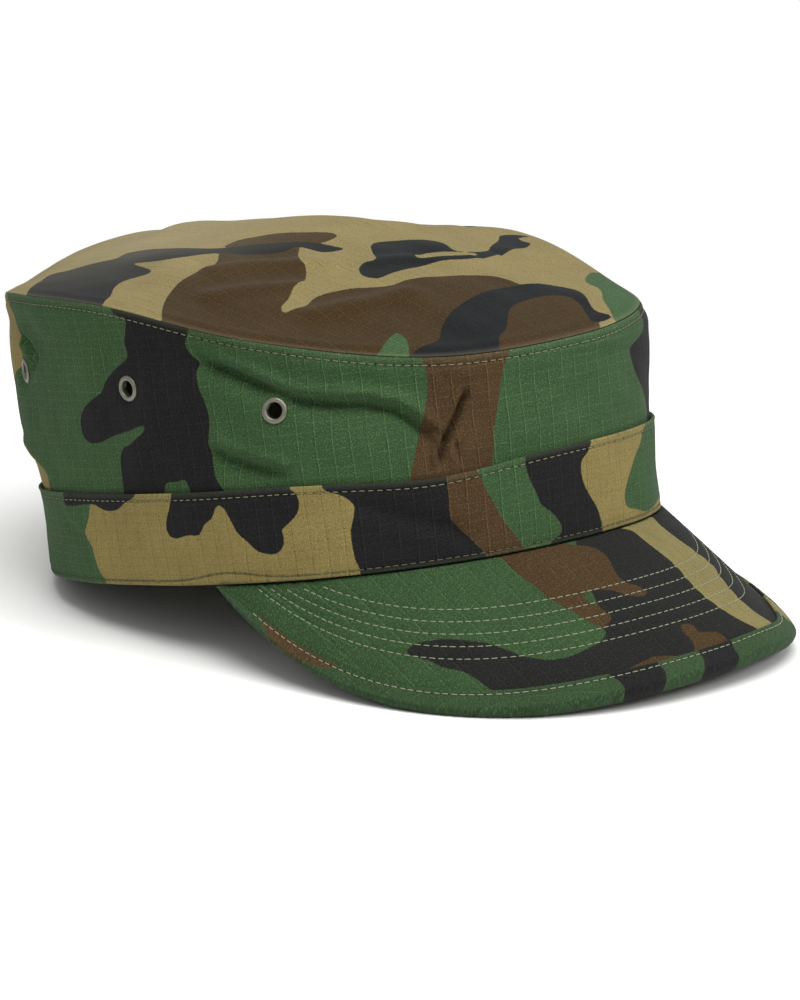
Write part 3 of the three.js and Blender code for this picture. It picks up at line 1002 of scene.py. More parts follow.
# Rows of stitches: how far they lie from their edge, and the groove that each is drawn into
seam_stitch = 2.3
band_stitch = 2.1
binding_stitch = 5.2
visor_rows = (20.0, 25.0, 30.0, 35.0, 40.0)
groove_width = 0.6
cloth_groove = 0.3
tape_groove = 0.2
visor_groove = 0.32
visor_groove_width = 0.75
no_stitches = 9.0

# The stitching above the hem rises at one place on the right
hem_stitch_height = 1.4
hem_stitch_rise = 2.0
hem_stitch_turn = 71.0
hem_stitch_width = 7.0

# One stitch, in millimetres: how its thread dips into the cloth and thins at its ends, and how much
# stitches differ
stitch_length = 2.05
stitch_pitch = 2.55
stitch_start = 0.5
stitch_end = 0.3
thread_radius = 0.17
stitch_shift = 0.12
stitch_stretch = 0.15
stitch_slant = 0.08
stitch_shape = table(
    "share lift thickness",
    (0.0, -0.22, 0.45),
    (0.12, 0.04, 0.95),
    (0.5, 0.1, 1.0),
    (0.88, 0.04, 0.95),
    (1.0, -0.22, 0.45),
)

# Binding: the share of each half of the tape that lies flat on the visor, the length of print that
# the rest takes up, and how closely the tape hugs the cloth
tape_leg = 0.62
tape_fold = 1 - tape_leg
tape_fold_length = 2.5
tape_hug = 0.12
tape_hug_bend = 0.8


def swell(turn, height):
    """Soft hollows and swells that the wall and the band have together."""
    total = np.zeros(np.broadcast(turn, height).shape)
    for row in side_swells:
        across = bump_at(turn_apart(turn, math.radians(row["turn"])) * hem_side, 0.0, row["wide"])
        total = total + row["depth"] * across * bump_at(height, row["height"], row["tall"])
    return total


def wall_top(turn):
    """Top of the wall, where it is turned in against the edge of the top panel."""
    return rim_height(turn) - wall_tuck


def hem_stitch(turn):
    """Height of the stitching above the hem."""
    rise = bump_at(np.degrees(turn), hem_stitch_turn, hem_stitch_width)
    return hem_stitch_height + hem_stitch_rise * rise


def groove(distance, depth=cloth_groove, width=groove_width):
    """The groove that a row of stitches is drawn into."""
    return -depth * bump_at(distance, 0.0, width)


def eyelet_flat(row, side):
    turn = math.radians(side * row["turn"])
    return np.array([float(arc_length(turn)), row["level"] * float(rim_height(turn))])


def eyelet_places():
    return [eyelet_flat(row, side) for side in (1, -1) for row in eyelet_rows]


def wear_sum(panel, creases, crumples, flat):
    """The creases and the soft crumples of one panel together."""
    total = np.zeros(flat.shape[:-1])
    for row in creases:
        total = total + crease_height(panels[panel], row, flat)
    for row in crumples:
        total = total + row["depth"] * crumple(flat * row["squeeze"], row["size"], row["seed"])
    return total


def settled(turn, height):
    """What the wall and the band share: their main folds made softer, and their swells."""
    return (fold_share - 1) * wall_fold_sum(turn, height / rim_height(turn)) + swell(turn, height)


def band_wear(turn, height):
    """How far the band, and the wall under it, stand off the plain solids."""
    flat = np.stack([arc_length(turn), height], -1)
    return settled(turn, height) + wear_sum("band", band_creases, band_crumples, flat)


def wall_wear(turn, height):
    """How far the wall stands off the plain solids."""
    flat = np.stack([arc_length(turn), height], -1)
    total = settled(turn, height) + wear_sum("wall", wall_creases, wall_crumples, flat)
    total = total * smooth_step(*wear_from_seam, wall_top(turn) - height)
    for place in eyelet_places():
        away = np.linalg.norm(flat - place, axis=-1)
        total = total * smooth_step(*wear_from_eyelet, away)
    above = smooth_step(*wear_from_band, height - band_top(turn))
    return total * above + band_wear(turn, height) * (1 - above)


def wall_outer(turn, height):
    """The outer face of the wall, with its seam turned in under the top."""
    below = wall_top(turn) - height
    seam = welt_edge + (welt - welt_edge) * smooth_step(0, welt_round, below)
    seam = seam - welt * smooth_step(*welt_outside, below)
    offset = -wall_inset + wall_wear(turn, height) + seam + groove(below - seam_stitch)
    return wall_point(turn, height / rim_height(turn), offset)


def wall_inner(turn, height):
    below = wall_top(turn) - height
    thinned = crown_cloth * (1 - smooth_step(*welt_inside, below))
    return wall_point(turn, height / rim_height(turn), -wall_inset - thinned + wall_wear(turn, height))


def band_outer(turn, height):
    """The outer face of the band, with its two rows of stitches drawn in."""
    sewn = groove(band_top(turn) - height - band_stitch) + groove(height - hem_stitch(turn))
    return wall_point(turn, height / rim_height(turn), band_face + band_wear(turn, height) + sewn)


def band_inner(turn, height):
    return wall_point(turn, height / rim_height(turn), band_face - band_cloth + band_wear(turn, height))


def from_spot(flat, row):
    """Distance on the top from a spot that is charted on the photo."""
    return np.linalg.norm(flat - panel_line(panels["top"], row)[0], axis=-1)


def top_wear(turn, reach):
    """How far the top stands off the plain solid."""
    flat = top_point(turn, reach)[..., :2]
    total = wear_sum("top", top_creases, top_crumples, flat)
    for row in top_swells:
        total = total + row["depth"] * bump_at(from_spot(flat, row), 0.0, row["wide"])
    total = total * (1 - smooth_step(*top_wear_ends, reach))
    edge = (1 - reach) * rim_side
    total = total + top_welt * bump_at(edge, top_welt_place, top_welt_width)
    return total - top_edge_drop * smooth_step(*top_edge_round, edge)


def top_normal(turn, reach):
    step = 0.002
    reach = np.maximum(reach, 10 * step)
    along = top_point(turn + step, reach) - top_point(turn - step, reach)
    out = top_point(turn, reach + step) - top_point(turn, reach - step)
    return unit(np.cross(along, out))


def top_outer(turn, reach):
    return top_point(turn, reach) + top_normal(turn, reach) * top_wear(turn, reach)[..., None]


def top_inner(turn, reach):
    """The inner face of the top, whose cloth is thinner where it lies over the wall's edge."""
    thinned = (crown_cloth - top_edge_cloth) * smooth_step(*top_thinning, (1 - reach) * rim_side)
    cloth = crown_cloth - thinned
    return top_outer(turn, reach) - top_normal(turn, reach) * cloth[..., None]


def visor_length(across):
    return visor_reach * (1 - np.abs(across) ** visor_fullness)


def visor_wear(across, out):
    """The grooves of the visor's stitch rows, and soft crumples inside its binding."""
    from_edge = (1 - out) * visor_length(across)
    sewn = sum(groove(from_edge - row, visor_groove, visor_groove_width) for row in visor_rows)
    crumpled = wear_sum("visor", [], visor_crumples, visor_flat(across, out))
    return sewn + crumpled * smooth_step(*wear_from_binding, from_edge)


def visor_ply(across, out, side, face):
    """A face of one of the visor's two plies: side is 1 for the top ply, face is 1 for its outside."""
    middle = (clearance + visor_cloth) / 2
    height = side * (middle + face * visor_cloth / 2)
    wear = visor_wear(across, out) * (1.0 if face > 0 else 0.0)
    return visor_point(across, out, height + side * wear)


def tape_point(across, share, depth):
    """The binding tape: share runs round the edge from -1 to 1, depth is from its middle outwards."""
    angle = np.clip(share / tape_fold, -1, 1) * np.pi / 2
    inboard = np.maximum(np.abs(share) - tape_fold, 0) / tape_leg
    lip = np.minimum(binding_width / visor_length(across), corner_lip)
    hug = tape_hug + (binding_gap - tape_hug) * (1 - inboard) ** tape_hug_bend
    half_height = visor_thickness / 2 + hug + binding_cloth / 2 + depth
    half_reach = binding_gap + binding_cloth / 2 + depth
    height = half_height * np.sin(angle)
    beyond = half_reach * np.cos(angle)
    beyond = np.where(np.abs(share) > tape_fold, 0.0, beyond)
    sewn = groove(inboard * binding_width - binding_stitch, tape_groove) * (depth > 0)
    return visor_point(across, 1 - inboard * lip, height + np.sign(share) * sewn, beyond)


# Meshes


def outline_of(rows, columns):
    """Index pairs round the edge of a grid, with the way inwards from each."""
    edge = [(i, 0) for i in range(rows - 1)]
    edge += [(rows - 1, j) for j in range(columns - 1)]
    edge += [(i, columns - 1) for i in range(rows - 1, 0, -1)]
    edge += [(0, j) for j in range(columns - 1, 0, -1)]
    index = np.array(edge)
    inwards = np.clip(index, [1, 1], [rows - 2, columns - 2])
    return index, inwards


def sheet_mesh(outer, inner, holes=None):
    """A closed sheet of cloth between two grids of points, with its cut edges rounded.

    holes marks the cells that are left out. Returns the points, the faces, the grid place that each
    point is charted from, and how far it lies towards the inside.
    """
    rows, columns = outer.shape[:2]
    count = rows * columns
    number = np.arange(count).reshape(rows, columns)
    cells = np.stack([number[:-1, :-1], number[1:, :-1], number[1:, 1:], number[:-1, 1:]], -1)
    kept = np.ones(cells.shape[:2], bool) if holes is None else ~holes
    faces = [cells[kept], cells[kept][:, ::-1] + count]

    edge, inwards = outline_of(rows, columns)
    edge_out = outer[edge[:, 0], edge[:, 1]]
    edge_in = inner[edge[:, 0], edge[:, 1]]
    middle = (edge_out + edge_in) / 2
    half = (edge_out - edge_in) / 2
    away = middle - (outer + inner)[inwards[:, 0], inwards[:, 1]] / 2
    away = unit(away) * np.linalg.norm(half, axis=-1, keepdims=True)
    points = [outer.reshape(-1, 3), inner.reshape(-1, 3)]
    source = [number.ravel(), number.ravel()]
    inside = [np.zeros(count), np.ones(count)]
    rings = [number[edge[:, 0], edge[:, 1]]]
    first = 2 * count
    for angle in (45, 90, 135):
        turned = math.radians(angle)
        points.append(middle + half * math.cos(turned) + away * math.sin(turned))
        source.append(rings[0])
        inside.append(np.full(len(edge), angle / 180))
        rings.append(first + np.arange(len(edge)))
        first += len(edge)
    rings.append(rings[0] + count)
    for upper, lower in zip(rings[:-1], rings[1:]):
        faces.append(np.stack([upper, lower, np.roll(lower, -1), np.roll(upper, -1)], -1))

    if holes is not None:
        for i, j in np.argwhere(holes):
            corners = cells[i, j]
            beside = [(i, j - 1), (i + 1, j), (i, j + 1), (i - 1, j)]
            for side, cell in enumerate(beside):
                if kept[cell]:
                    a, b = corners[side], corners[(side + 1) % 4]
                    faces.append(np.array([[a, b, b + count, a + count]]))
    return np.concatenate(points), np.concatenate(faces), np.concatenate(source), np.concatenate(inside)


def add_mesh(name, points, faces, material):
    mesh = bpy.data.meshes.new(name)
    mesh.from_pydata((points * MILLIMETRE).tolist(), [], [tuple(map(int, face)) for face in faces])
    mesh.validate()
    fresh = bmesh.new()
    fresh.from_mesh(mesh)
    loose = [vertex for vertex in fresh.verts if not vertex.link_faces]
    bmesh.ops.delete(fresh, geom=loose, context="VERTS")
    bmesh.ops.recalc_face_normals(fresh, faces=fresh.faces)
    fresh.to_mesh(mesh)
    fresh.free()
    mesh.polygons.foreach_set("use_smooth", [True] * len(mesh.polygons))
    mesh.materials.append(material)
    piece = bpy.data.objects.new(name, mesh)
    bpy.context.scene.collection.objects.link(piece)
    return piece


def write_marks(mesh, marks, keep):
    """Per-point marks that the materials read, for the points that are kept."""
    for name, values in marks.items():
        values = values[keep]
        if values.ndim == 2:
            layer = mesh.attributes.new(name, "FLOAT_VECTOR", "POINT")
            layer.data.foreach_set("vector", values.astype(np.float32).ravel())
        else:
            layer = mesh.attributes.new(name, "FLOAT", "POINT")
            layer.data.foreach_set("value", values.astype(np.float32).ravel())


def cloth_piece(name, material, outer, inner, flat, distances, wear, stitches, holes=None):
    """A sheet of printed cloth. Its marks are charted on the grid of its outer face: stitches is
    how far each place lies from a row of stitches, in millimetres, and wear how much lighter it
    gets, with use and as painted highlight and sheen.
    """
    points, faces, source, inside = sheet_mesh(outer, inner, holes)
    used = np.zeros(len(points), bool)
    used[np.unique(faces)] = True
    piece = add_mesh(name, pressed_flat(points), faces, material)
    marks = {
        "print_green": distances[0].ravel()[source],
        "print_brown": distances[1].ravel()[source],
        "print_black": distances[2].ravel()[source],
        "cloth": np.concatenate([flat.reshape(-1, 2)[source], np.zeros((len(source), 1))], 1),
        "inside": inside,
        "wear": wear.ravel()[source],
        "stitches": stitches.ravel()[source],
    }
    write_marks(piece.data, marks, used)
    return piece


def lathed(name, material, profile, sides, place, axis):
    """A ring of metal turned round an axis: its profile is a closed loop of radius and height."""
    first = unit(np.cross(axis, np.array([0.0, 0.0, 1.0])))
    second = np.cross(axis, first)
    angles = np.arange(sides) * 2 * np.pi / sides
    spokes = np.cos(angles)[:, None] * first + np.sin(angles)[:, None] * second
    profile = np.array(profile)
    points = place + spokes[:, None] * profile[:, :1] + axis * profile[:, 1:]
    number = np.arange(sides * len(profile)).reshape(sides, len(profile))
    onward = np.roll(number, -1, axis=0)
    faces = np.stack([number, onward, np.roll(onward, -1, axis=1), np.roll(number, -1, axis=1)], -1)
    return add_mesh(name, pressed_flat(points.reshape(-1, 3)), faces.reshape(-1, 4), material)


def stitch_row(name, material, outer, inner, first, second):
    """A row of thread stitches along a line of a face, given in its two coordinates."""
    lengths = run_lengths(outer(first, second))
    starts = np.arange(stitch_start, lengths[-1] - stitch_length - stitch_end, stitch_pitch)
    chance = np.random.default_rng(len(starts)).uniform(-1, 1, (3, len(starts), 1))
    stations, lift, thickness = np.array([list(row.values()) for row in stitch_shape]).T
    reach = stitch_length + stitch_stretch * chance[1]
    at = starts[:, None] + stitch_shift * chance[0] + reach * stations
    line = np.interp(at, lengths, first), np.interp(at, lengths, second)
    spine = outer(*line)
    normal = unit(spine - inner(*line))
    tangent = unit(np.gradient(spine, axis=1))
    sideways = unit(np.cross(tangent, normal))
    slant = stitch_slant * chance[2][..., None] * (stations - 0.5)[:, None]
    spine = spine + normal * lift[:, None] + sideways * slant
    sides = 6
    angles = np.arange(sides) * 2 * np.pi / sides
    ring = normal[:, :, None] * np.cos(angles)[:, None]
    ring = ring + sideways[:, :, None] * np.sin(angles)[:, None]
    points = spine[:, :, None] + ring * (thickness * thread_radius)[:, None, None]
    number = np.arange(points[..., 0].size).reshape(points.shape[:3])
    onward = np.roll(number, -1, axis=2)
    tube = np.stack([number[:, :-1], onward[:, :-1], onward[:, 1:], number[:, 1:]], -1).reshape(-1, 4)
    ends = np.concatenate([number[:, 0], number[:, -1, ::-1]])
    faces = tube.tolist() + ends.tolist()
    return add_mesh(name, pressed_flat(points.reshape(-1, 3)), faces, material)


# Materials


def shade(red, green, blue):
    """An sRGB colour as the linear colour that the shaders take."""
    parts = np.array([red, green, blue]) / 255
    linear = np.where(parts <= 0.04045, parts / 12.92, ((parts + 0.055) / 1.055) ** 2.4)
    return (*map(float, linear), 1.0)


class Nodes:
    """Short ways to add and join the nodes of one tree."""

    def __init__(self, tree):
        self.tree = tree

    def add(self, kind, **settings):
        node = self.tree.nodes.new(kind)
        for name, value in settings.items():
            setattr(node, name, value)
        return node

    def put(self, socket, value):
        if isinstance(value, bpy.types.NodeSocket):
            self.tree.links.new(value, socket)
        else:
            socket.default_value = value

    def maths(self, operation, *values):
        node = self.add("ShaderNodeMath", operation=operation)
        for socket, value in zip(node.inputs, values):
            self.put(socket, value)
        return node.outputs[0]

    def plus(self, total, value, factor):
        """The total with a value added that is first multiplied by a factor."""
        return self.maths("ADD", total, self.maths("MULTIPLY", value, factor))

    def ramp(self, value, low, high, to_low=0.0, to_high=1.0):
        node = self.add("ShaderNodeMapRange", interpolation_type="SMOOTHSTEP")
        for socket, given in zip(node.inputs, (value, low, high, to_low, to_high)):
            self.put(socket, given)
        return node.outputs[0]

    def mix(self, share, first, second):
        node = self.add("ShaderNodeMix", data_type="RGBA")
        self.put(node.inputs["Factor"], share)
        self.put(node.inputs[6], first)
        self.put(node.inputs[7], second)
        return node.outputs[2]

    def noise(self, vector, scale, detail=2.0, roughness=0.5):
        node = self.add("ShaderNodeTexNoise")
        self.put(node.inputs["Vector"], vector)
        self.put(node.inputs["Scale"], scale)
        self.put(node.inputs["Detail"], detail)
        self.put(node.inputs["Roughness"], roughness)
        return node.outputs[0]

    def mark(self, name):
        node = self.add("ShaderNodeAttribute", attribute_name=name)
        return node.outputs["Vector" if name == "cloth" else "Fac"]

    def group(self, tree, **values):
        node = self.add("ShaderNodeGroup", node_tree=tree)
        for name, value in values.items():
            self.put(node.inputs[name.replace("_", " ").title()], value)
        return node.outputs


def new_group(name, inputs, outputs):
    tree = bpy.data.node_groups.new(name, "ShaderNodeTree")
    kinds = {"value": "NodeSocketFloat", "colour": "NodeSocketColor", "vector": "NodeSocketVector"}
    for label, kind in inputs:
        tree.interface.new_socket(label, in_out="INPUT", socket_type=kinds[kind])
    for label, kind in outputs:
        tree.interface.new_socket(label, in_out="OUTPUT", socket_type=kinds[kind])
    nodes = Nodes(tree)
    given = nodes.add("NodeGroupInput").outputs
    result = nodes.add("NodeGroupOutput").inputs
    return nodes, given, result


def woodland_group():
    """The four-colour print, from the distances to its patches, with slightly ragged edges."""
    nodes, given, result = new_group(
        "woodland_print",
        [
            ("Cloth", "vector"), ("Green Distance", "value"), ("Brown Distance", "value"),
            ("Black Distance", "value"), ("Raggedness", "value"), ("Softness", "value"), ("Tan", "colour"),
            ("Green", "colour"), ("Brown", "colour"), ("Black", "colour"),
        ],
        [("Colour", "colour"), ("Tan Share", "value"), ("Black Share", "value")],
    )
    ragged = nodes.maths("SUBTRACT", nodes.noise(given["Cloth"], 1.1, 3.0), 0.5)
    ragged = nodes.maths("MULTIPLY", ragged, given["Raggedness"])
    soft = given["Softness"]
    minus_soft = nodes.maths("MULTIPLY", soft, -1.0)
    colour = given["Tan"]
    shares = {}
    for name in ("Green", "Brown", "Black"):
        distance = nodes.maths("ADD", given[f"{name} Distance"], ragged)
        shares[name] = nodes.ramp(distance, minus_soft, soft, 1.0, 0.0)
        colour = nodes.mix(shares[name], colour, given[name])
    nodes.put(result["Colour"], colour)
    nodes.put(result["Tan Share"], nodes.maths("SUBTRACT", 1.0, shares["Green"]))
    nodes.put(result["Black Share"], shares["Black"])
    return nodes.tree


# Ripstop weave: how far its threads wander, in millimetres, and the scale of the noise that they
# follow. The thick ones of its grid, the ribs, fade out between two distances from their middle.
weave_drift = 1.2
weave_drift_scale = 0.06
rib_edges = (0.03, 0.22)

# The painted shadow beside an upright rib: how far off, how it fades out and how dark it is
rib_shadow_offset = 0.42
rib_shadow_edges = (0.08, 0.34)
rib_shadow_darkness = 0.3

# How light the level ribs are beside the upright ribs, both painted as highlights, and the streaks
# beside the grain
level_rib_light = 0.8
streak_light = 0.25

# How far each kind of thread stands up, in millimetres
woven_height = 0.03
grain_height = 0.1
raised_rib_height = 0.012

# Noise of the weave, with its scales across and along the upright threads
weave_rows = table(
    "name across along detail roughness",
    ("dots", 1.9, 0.3, 2.0, 0.6),
    ("breaks", 0.5, 0.16, 2.0, 0.6),
    ("grain", 2.6, 1.7, 3.0, 0.7),
    ("streaks", 1.6, 0.11, 3.0, 0.6),
    ("specks", 2.6, 2.2, 1.0, 0.5),
)


def ripstop_group():
    """Ripstop weave: fine uneven threads, with thicker ones in a grid.

    The level threads of the grid are twice as close as its upright ones, and are more broken up.
    """
    nodes, given, result = new_group(
        "ripstop_weave",
        [("Cloth", "vector"), ("Turned", "value"), ("Grid", "value"), ("Thread", "value")],
        [("Height", "value"), ("Grain", "value"), ("Ribs", "value"), ("Specks", "value")],
    )
    turn = nodes.add("ShaderNodeVectorRotate", rotation_type="Z_AXIS")
    nodes.put(turn.inputs["Vector"], given["Cloth"])
    nodes.put(turn.inputs["Angle"], given["Turned"])
    bent = nodes.add("ShaderNodeTexNoise")
    nodes.put(bent.inputs["Vector"], turn.outputs[0])
    bent.inputs["Scale"].default_value = weave_drift_scale
    drift = nodes.add("ShaderNodeVectorMath", operation="MULTIPLY_ADD")
    nodes.put(drift.inputs[0], bent.outputs["Color"])
    drift.inputs[1].default_value = (weave_drift, weave_drift, 0.0)
    nodes.put(drift.inputs[2], turn.outputs[0])
    place = drift.outputs[0]
    split = nodes.add("ShaderNodeSeparateXYZ")
    nodes.put(split.inputs[0], place)

    uneven = {}
    for row in weave_rows:
        stretch = nodes.add("ShaderNodeVectorMath", operation="MULTIPLY")
        nodes.put(stretch.inputs[0], place)
        stretch.inputs[1].default_value = (row["across"], row["along"], 1.0)
        noise = nodes.noise(stretch.outputs[0], 1.0, row["detail"], row["roughness"])
        uneven[row["name"]] = noise

    ribs = []
    threads = []
    closer = nodes.maths("MULTIPLY", given["Grid"], 0.5)
    for axis, grid in ((0, given["Grid"]), (1, closer)):
        cell = nodes.maths("FRACT", nodes.maths("DIVIDE", split.outputs[axis], grid))
        apart = nodes.maths("MULTIPLY", nodes.maths("SUBTRACT", cell, 0.5), grid)
        ribs.append(nodes.ramp(nodes.maths("ABSOLUTE", apart), *rib_edges, 1.0, 0.0))
        if axis == 0:
            next_to = nodes.maths("ABSOLUTE", nodes.maths("SUBTRACT", apart, rib_shadow_offset))
            beside = nodes.ramp(next_to, *rib_shadow_edges, 1.0, 0.0)
        wave = nodes.maths("DIVIDE", split.outputs[axis], given["Thread"])
        threads.append(nodes.maths("SINE", nodes.maths("MULTIPLY", wave, 2 * math.pi)))
    dotted = nodes.ramp(uneven["dots"], 0.44, 0.6)
    broken = nodes.ramp(uneven["breaks"], 0.3, 0.58, 0.25, 1.0)
    # The upright ribs as a painted highlight, less the painted shadow beside them, broken up
    upright = nodes.maths("MULTIPLY", nodes.plus(ribs[0], beside, -rib_shadow_darkness), broken)
    level = nodes.maths("MULTIPLY", ribs[1], dotted)
    grain = nodes.maths("SUBTRACT", uneven["grain"], 0.5)
    streaks = nodes.maths("SUBTRACT", uneven["streaks"], 0.5)
    height = nodes.maths("MULTIPLY", nodes.maths("MULTIPLY", *threads), woven_height)
    height = nodes.plus(height, grain, grain_height)
    height = nodes.plus(height, ribs[0], raised_rib_height)
    height = nodes.plus(height, level, raised_rib_height)
    nodes.put(result["Height"], height)
    nodes.put(result["Grain"], nodes.plus(grain, streaks, streak_light))
    nodes.put(result["Ribs"], nodes.plus(upright, level, level_rib_light))
    nodes.put(result["Specks"], nodes.ramp(uneven["specks"], 0.54, 0.72))
    return nodes.tree


# How dark the painted shade is along a row of stitches, in its groove and needle holes
stitch_painted_shade = 0.55


def wear_and_light_group():
    """Cloth washed in patches and lighter at its edges with use, which also carries painted highlight
    and sheen, with painted highlight and shade on its weave's ribs and painted shade along its
    stitches.
    """
    nodes, given, result = new_group(
        "worn_and_lit_cloth",
        [
            ("Colour", "colour"), ("Cloth", "vector"), ("Worn", "value"), ("Patchiness", "value"),
            ("Grain", "value"), ("Graininess", "value"), ("Ribs", "value"), ("Rib Light", "value"),
            ("Specks", "value"), ("Speck Light", "value"), ("From Stitches", "value"), ("Faded", "colour"),
        ],
        [("Colour", "colour")],
    )
    patches = nodes.maths("SUBTRACT", nodes.noise(given["Cloth"], 0.05, 4.0, 0.6), 0.5)
    light = nodes.plus(1.0, patches, given["Patchiness"])
    light = nodes.plus(light, given["Grain"], given["Graininess"])
    light = nodes.plus(light, given["Ribs"], given["Rib Light"])
    light = nodes.plus(light, given["Specks"], given["Speck Light"])
    # Painted shade along the stitch grooves and needle holes, broken up by noise
    near = nodes.ramp(nodes.maths("ABSOLUTE", given["From Stitches"]), 0.15, 0.6, 1.0, 0.0)
    uneven = nodes.ramp(nodes.noise(given["Cloth"], 0.9, 2.0), 0.3, 0.6, 0.25, 1.0)
    light = nodes.plus(light, nodes.maths("MULTIPLY", near, uneven), -stitch_painted_shade)
    scaled = nodes.add("ShaderNodeVectorMath", operation="SCALE")
    nodes.put(scaled.inputs[0], given["Colour"])
    nodes.put(scaled.inputs["Scale"], light)
    # Edges lighter with use, and painted highlight and sheen, mix towards the lighter colour
    nodes.put(result["Colour"], nodes.mix(given["Worn"], scaled.outputs[0], given["Faded"]))
    return nodes.tree


woodland = woodland_group()
ripstop = ripstop_group()
wear_and_light_tree = wear_and_light_group()


def new_material(name):
    material = bpy.data.materials.new(name)
    material.use_nodes = True
    return material, Nodes(material.node_tree), material.node_tree.nodes["Principled BSDF"]


def printed_cloth(name, colours, rubbed_and_highlit, turned=0.0, rib_light=0.85, speck_light=1.15):
    """A woodland cloth: its four colours, the colour it rubs to, which also stands for painted
    highlight and sheen, and how far its weave is turned.

    Its ribs are painted lighter than the print, as highlights, but darker on the tan, as shade; its
    specks are lighter than the print.
    """
    material, nodes, shader = new_material(name)
    place = nodes.mark("cloth")
    printed = nodes.group(
        woodland, cloth=place, green_distance=nodes.mark("print_green"),
        brown_distance=nodes.mark("print_brown"), black_distance=nodes.mark("print_black"),
        raggedness=0.5, softness=0.16, **colours,
    )
    weave = nodes.group(ripstop, cloth=place, turned=turned, grid=5.2, thread=0.6)
    on_tan = printed["Tan Share"]
    worn = nodes.group(
        wear_and_light_tree, colour=printed["Colour"], cloth=place, worn=nodes.mark("wear"), patchiness=0.4,
        grain=weave["Grain"], graininess=1.9, ribs=weave["Ribs"], specks=weave["Specks"],
        rib_light=nodes.ramp(on_tan, 0.0, 1.0, rib_light, tan_rib_painted_shade * rib_light),
        speck_light=nodes.ramp(on_tan, 0.0, 1.0, speck_light, tan_speck_light),
        from_stitches=nodes.mark("stitches"), faded=rubbed_and_highlit,
    )
    reverse = nodes.maths("MULTIPLY", nodes.ramp(nodes.mark("inside"), 0.6, 0.9), unprinted_share)
    nodes.put(shader.inputs["Base Color"], nodes.mix(reverse, worn["Colour"], unprinted))
    bump = nodes.add("ShaderNodeBump")
    bump.inputs["Strength"].default_value = 0.7
    bump.inputs["Distance"].default_value = MILLIMETRE
    nodes.put(bump.inputs["Height"], weave["Height"])
    nodes.put(shader.inputs["Normal"], bump.outputs[0])
    shader.inputs["Roughness"].default_value = 0.88
    shader.inputs["Specular IOR Level"].default_value = 0.08
    shader.inputs["Sheen Weight"].default_value = 0.03
    shader.inputs["Sheen Roughness"].default_value = 0.5
    return material


def plain_material(name, colour, roughness, metallic=0.0, mottle=0.15, scale=900.0):
    """A material of one colour with a light mottle, also in its roughness."""
    material, nodes, shader = new_material(name)
    patches = nodes.noise(nodes.add("ShaderNodeTexCoord").outputs["Object"], scale, 3.0)
    darker = tuple(part * (1 - mottle) for part in colour[:3]) + (1.0,)
    lighter = tuple(min(part * (1 + mottle), 1.0) for part in colour[:3]) + (1.0,)
    nodes.put(shader.inputs["Base Color"], nodes.mix(patches, darker, lighter))
    rough = nodes.ramp(patches, 0.3, 0.7, roughness - 0.08, roughness + 0.08)
    nodes.put(shader.inputs["Roughness"], rough)
    shader.inputs["Metallic"].default_value = metallic
    return material


# Cloth: the side that isn't printed, how the weave shows on the tan, where its ribs are painted
# shade, the light colours that edges go to with use, which also carry painted highlight and, on the
# top, painted sheen, and the colours of each panel
unprinted = shade(120, 116, 96)
unprinted_share = 0.45
tan_rib_painted_shade = -0.4
tan_speck_light = 0.2
rubbed_and_highlit = shade(116, 122, 94)
top_rubbed_and_sheen = shade(176, 169, 146)
side_colours = {
    "tan": shade(124, 111, 67),
    "green": shade(51, 73, 45),
    "brown": shade(65, 50, 32),
    "black": shade(26, 26, 26),
}
# The top's print: its brown and black are painted darker than the wall's, as shade on the top
top_shaded_colours = {
    "tan": shade(120, 108, 70),
    "green": side_colours["green"],
    "brown": shade(51, 38, 18),
    "black": shade(19, 21, 22),
}
visor_colours = {
    "tan": shade(116, 107, 68),
    "green": shade(44, 64, 38),
    "brown": shade(58, 44, 26),
    "black": shade(27, 27, 26),
}
binding_colours = {
    "tan": visor_colours["tan"],
    "green": shade(44, 62, 39),
    "brown": side_colours["brown"],
    "black": side_colours["black"],
}
wall_material = printed_cloth("woodland_wall_cloth", side_colours, rubbed_and_highlit)
band_material = printed_cloth("woodland_band_cloth", side_colours, rubbed_and_highlit)
top_material = printed_cloth("woodland_top_cloth", top_shaded_colours, top_rubbed_and_sheen, rib_light=0.75)
visor_material = printed_cloth(
    "woodland_visor_cloth", visor_colours, rubbed_and_highlit, rib_light=0.6, speck_light=1.6,
)
binding_material = printed_cloth(
    "woodland_binding_cloth", binding_colours, rubbed_and_highlit, turned=math.radians(45), rib_light=0.4,
)
crown_thread = plain_material("crown_thread", shade(110, 110, 86), 0.85)
hem_thread = plain_material("hem_thread", shade(78, 76, 56), 0.85)
visor_thread = plain_material("visor_thread", shade(128, 133, 110), 0.85)
eyelet_material = plain_material("eyelet_metal", shade(122, 122, 108), 0.42, metallic=0.75)


# Pieces

# The wall and the band each end here, half a cloth from the seam up the back
seam_turn = math.pi - crown_cloth / 2 / hem_back

# The grids of the wall and the band are finest where the front folds are
finest_turn = math.radians(34)
finest_width = math.radians(30)
finest_gain = 1.2

# The cut edge of the wall under the top, and how much lighter the edges of the panels get, with use
# and as painted highlight on the raised seams
wall_edge_round = 0.3
edge_rub_and_highlight = 0.1
band_edge_rub_and_highlight = 0.08

# How the cloth is opened for an eyelet: cells this near are cut, and the grid round them is moved
eyelet_cells = 1.0
eyelet_opening = 3.1
eyelet_spread = 6.0

# How far the visor and its binding reach towards the corners, as shares of the way across
visor_end = 0.99
binding_end = 0.994
stitches_end = 0.93

# The visor's seam allowance, turned up inside the crown
allowance_low = -1.9
allowance_height = 11.0
allowance_gap = 0.25
allowance_cloth = 0.9

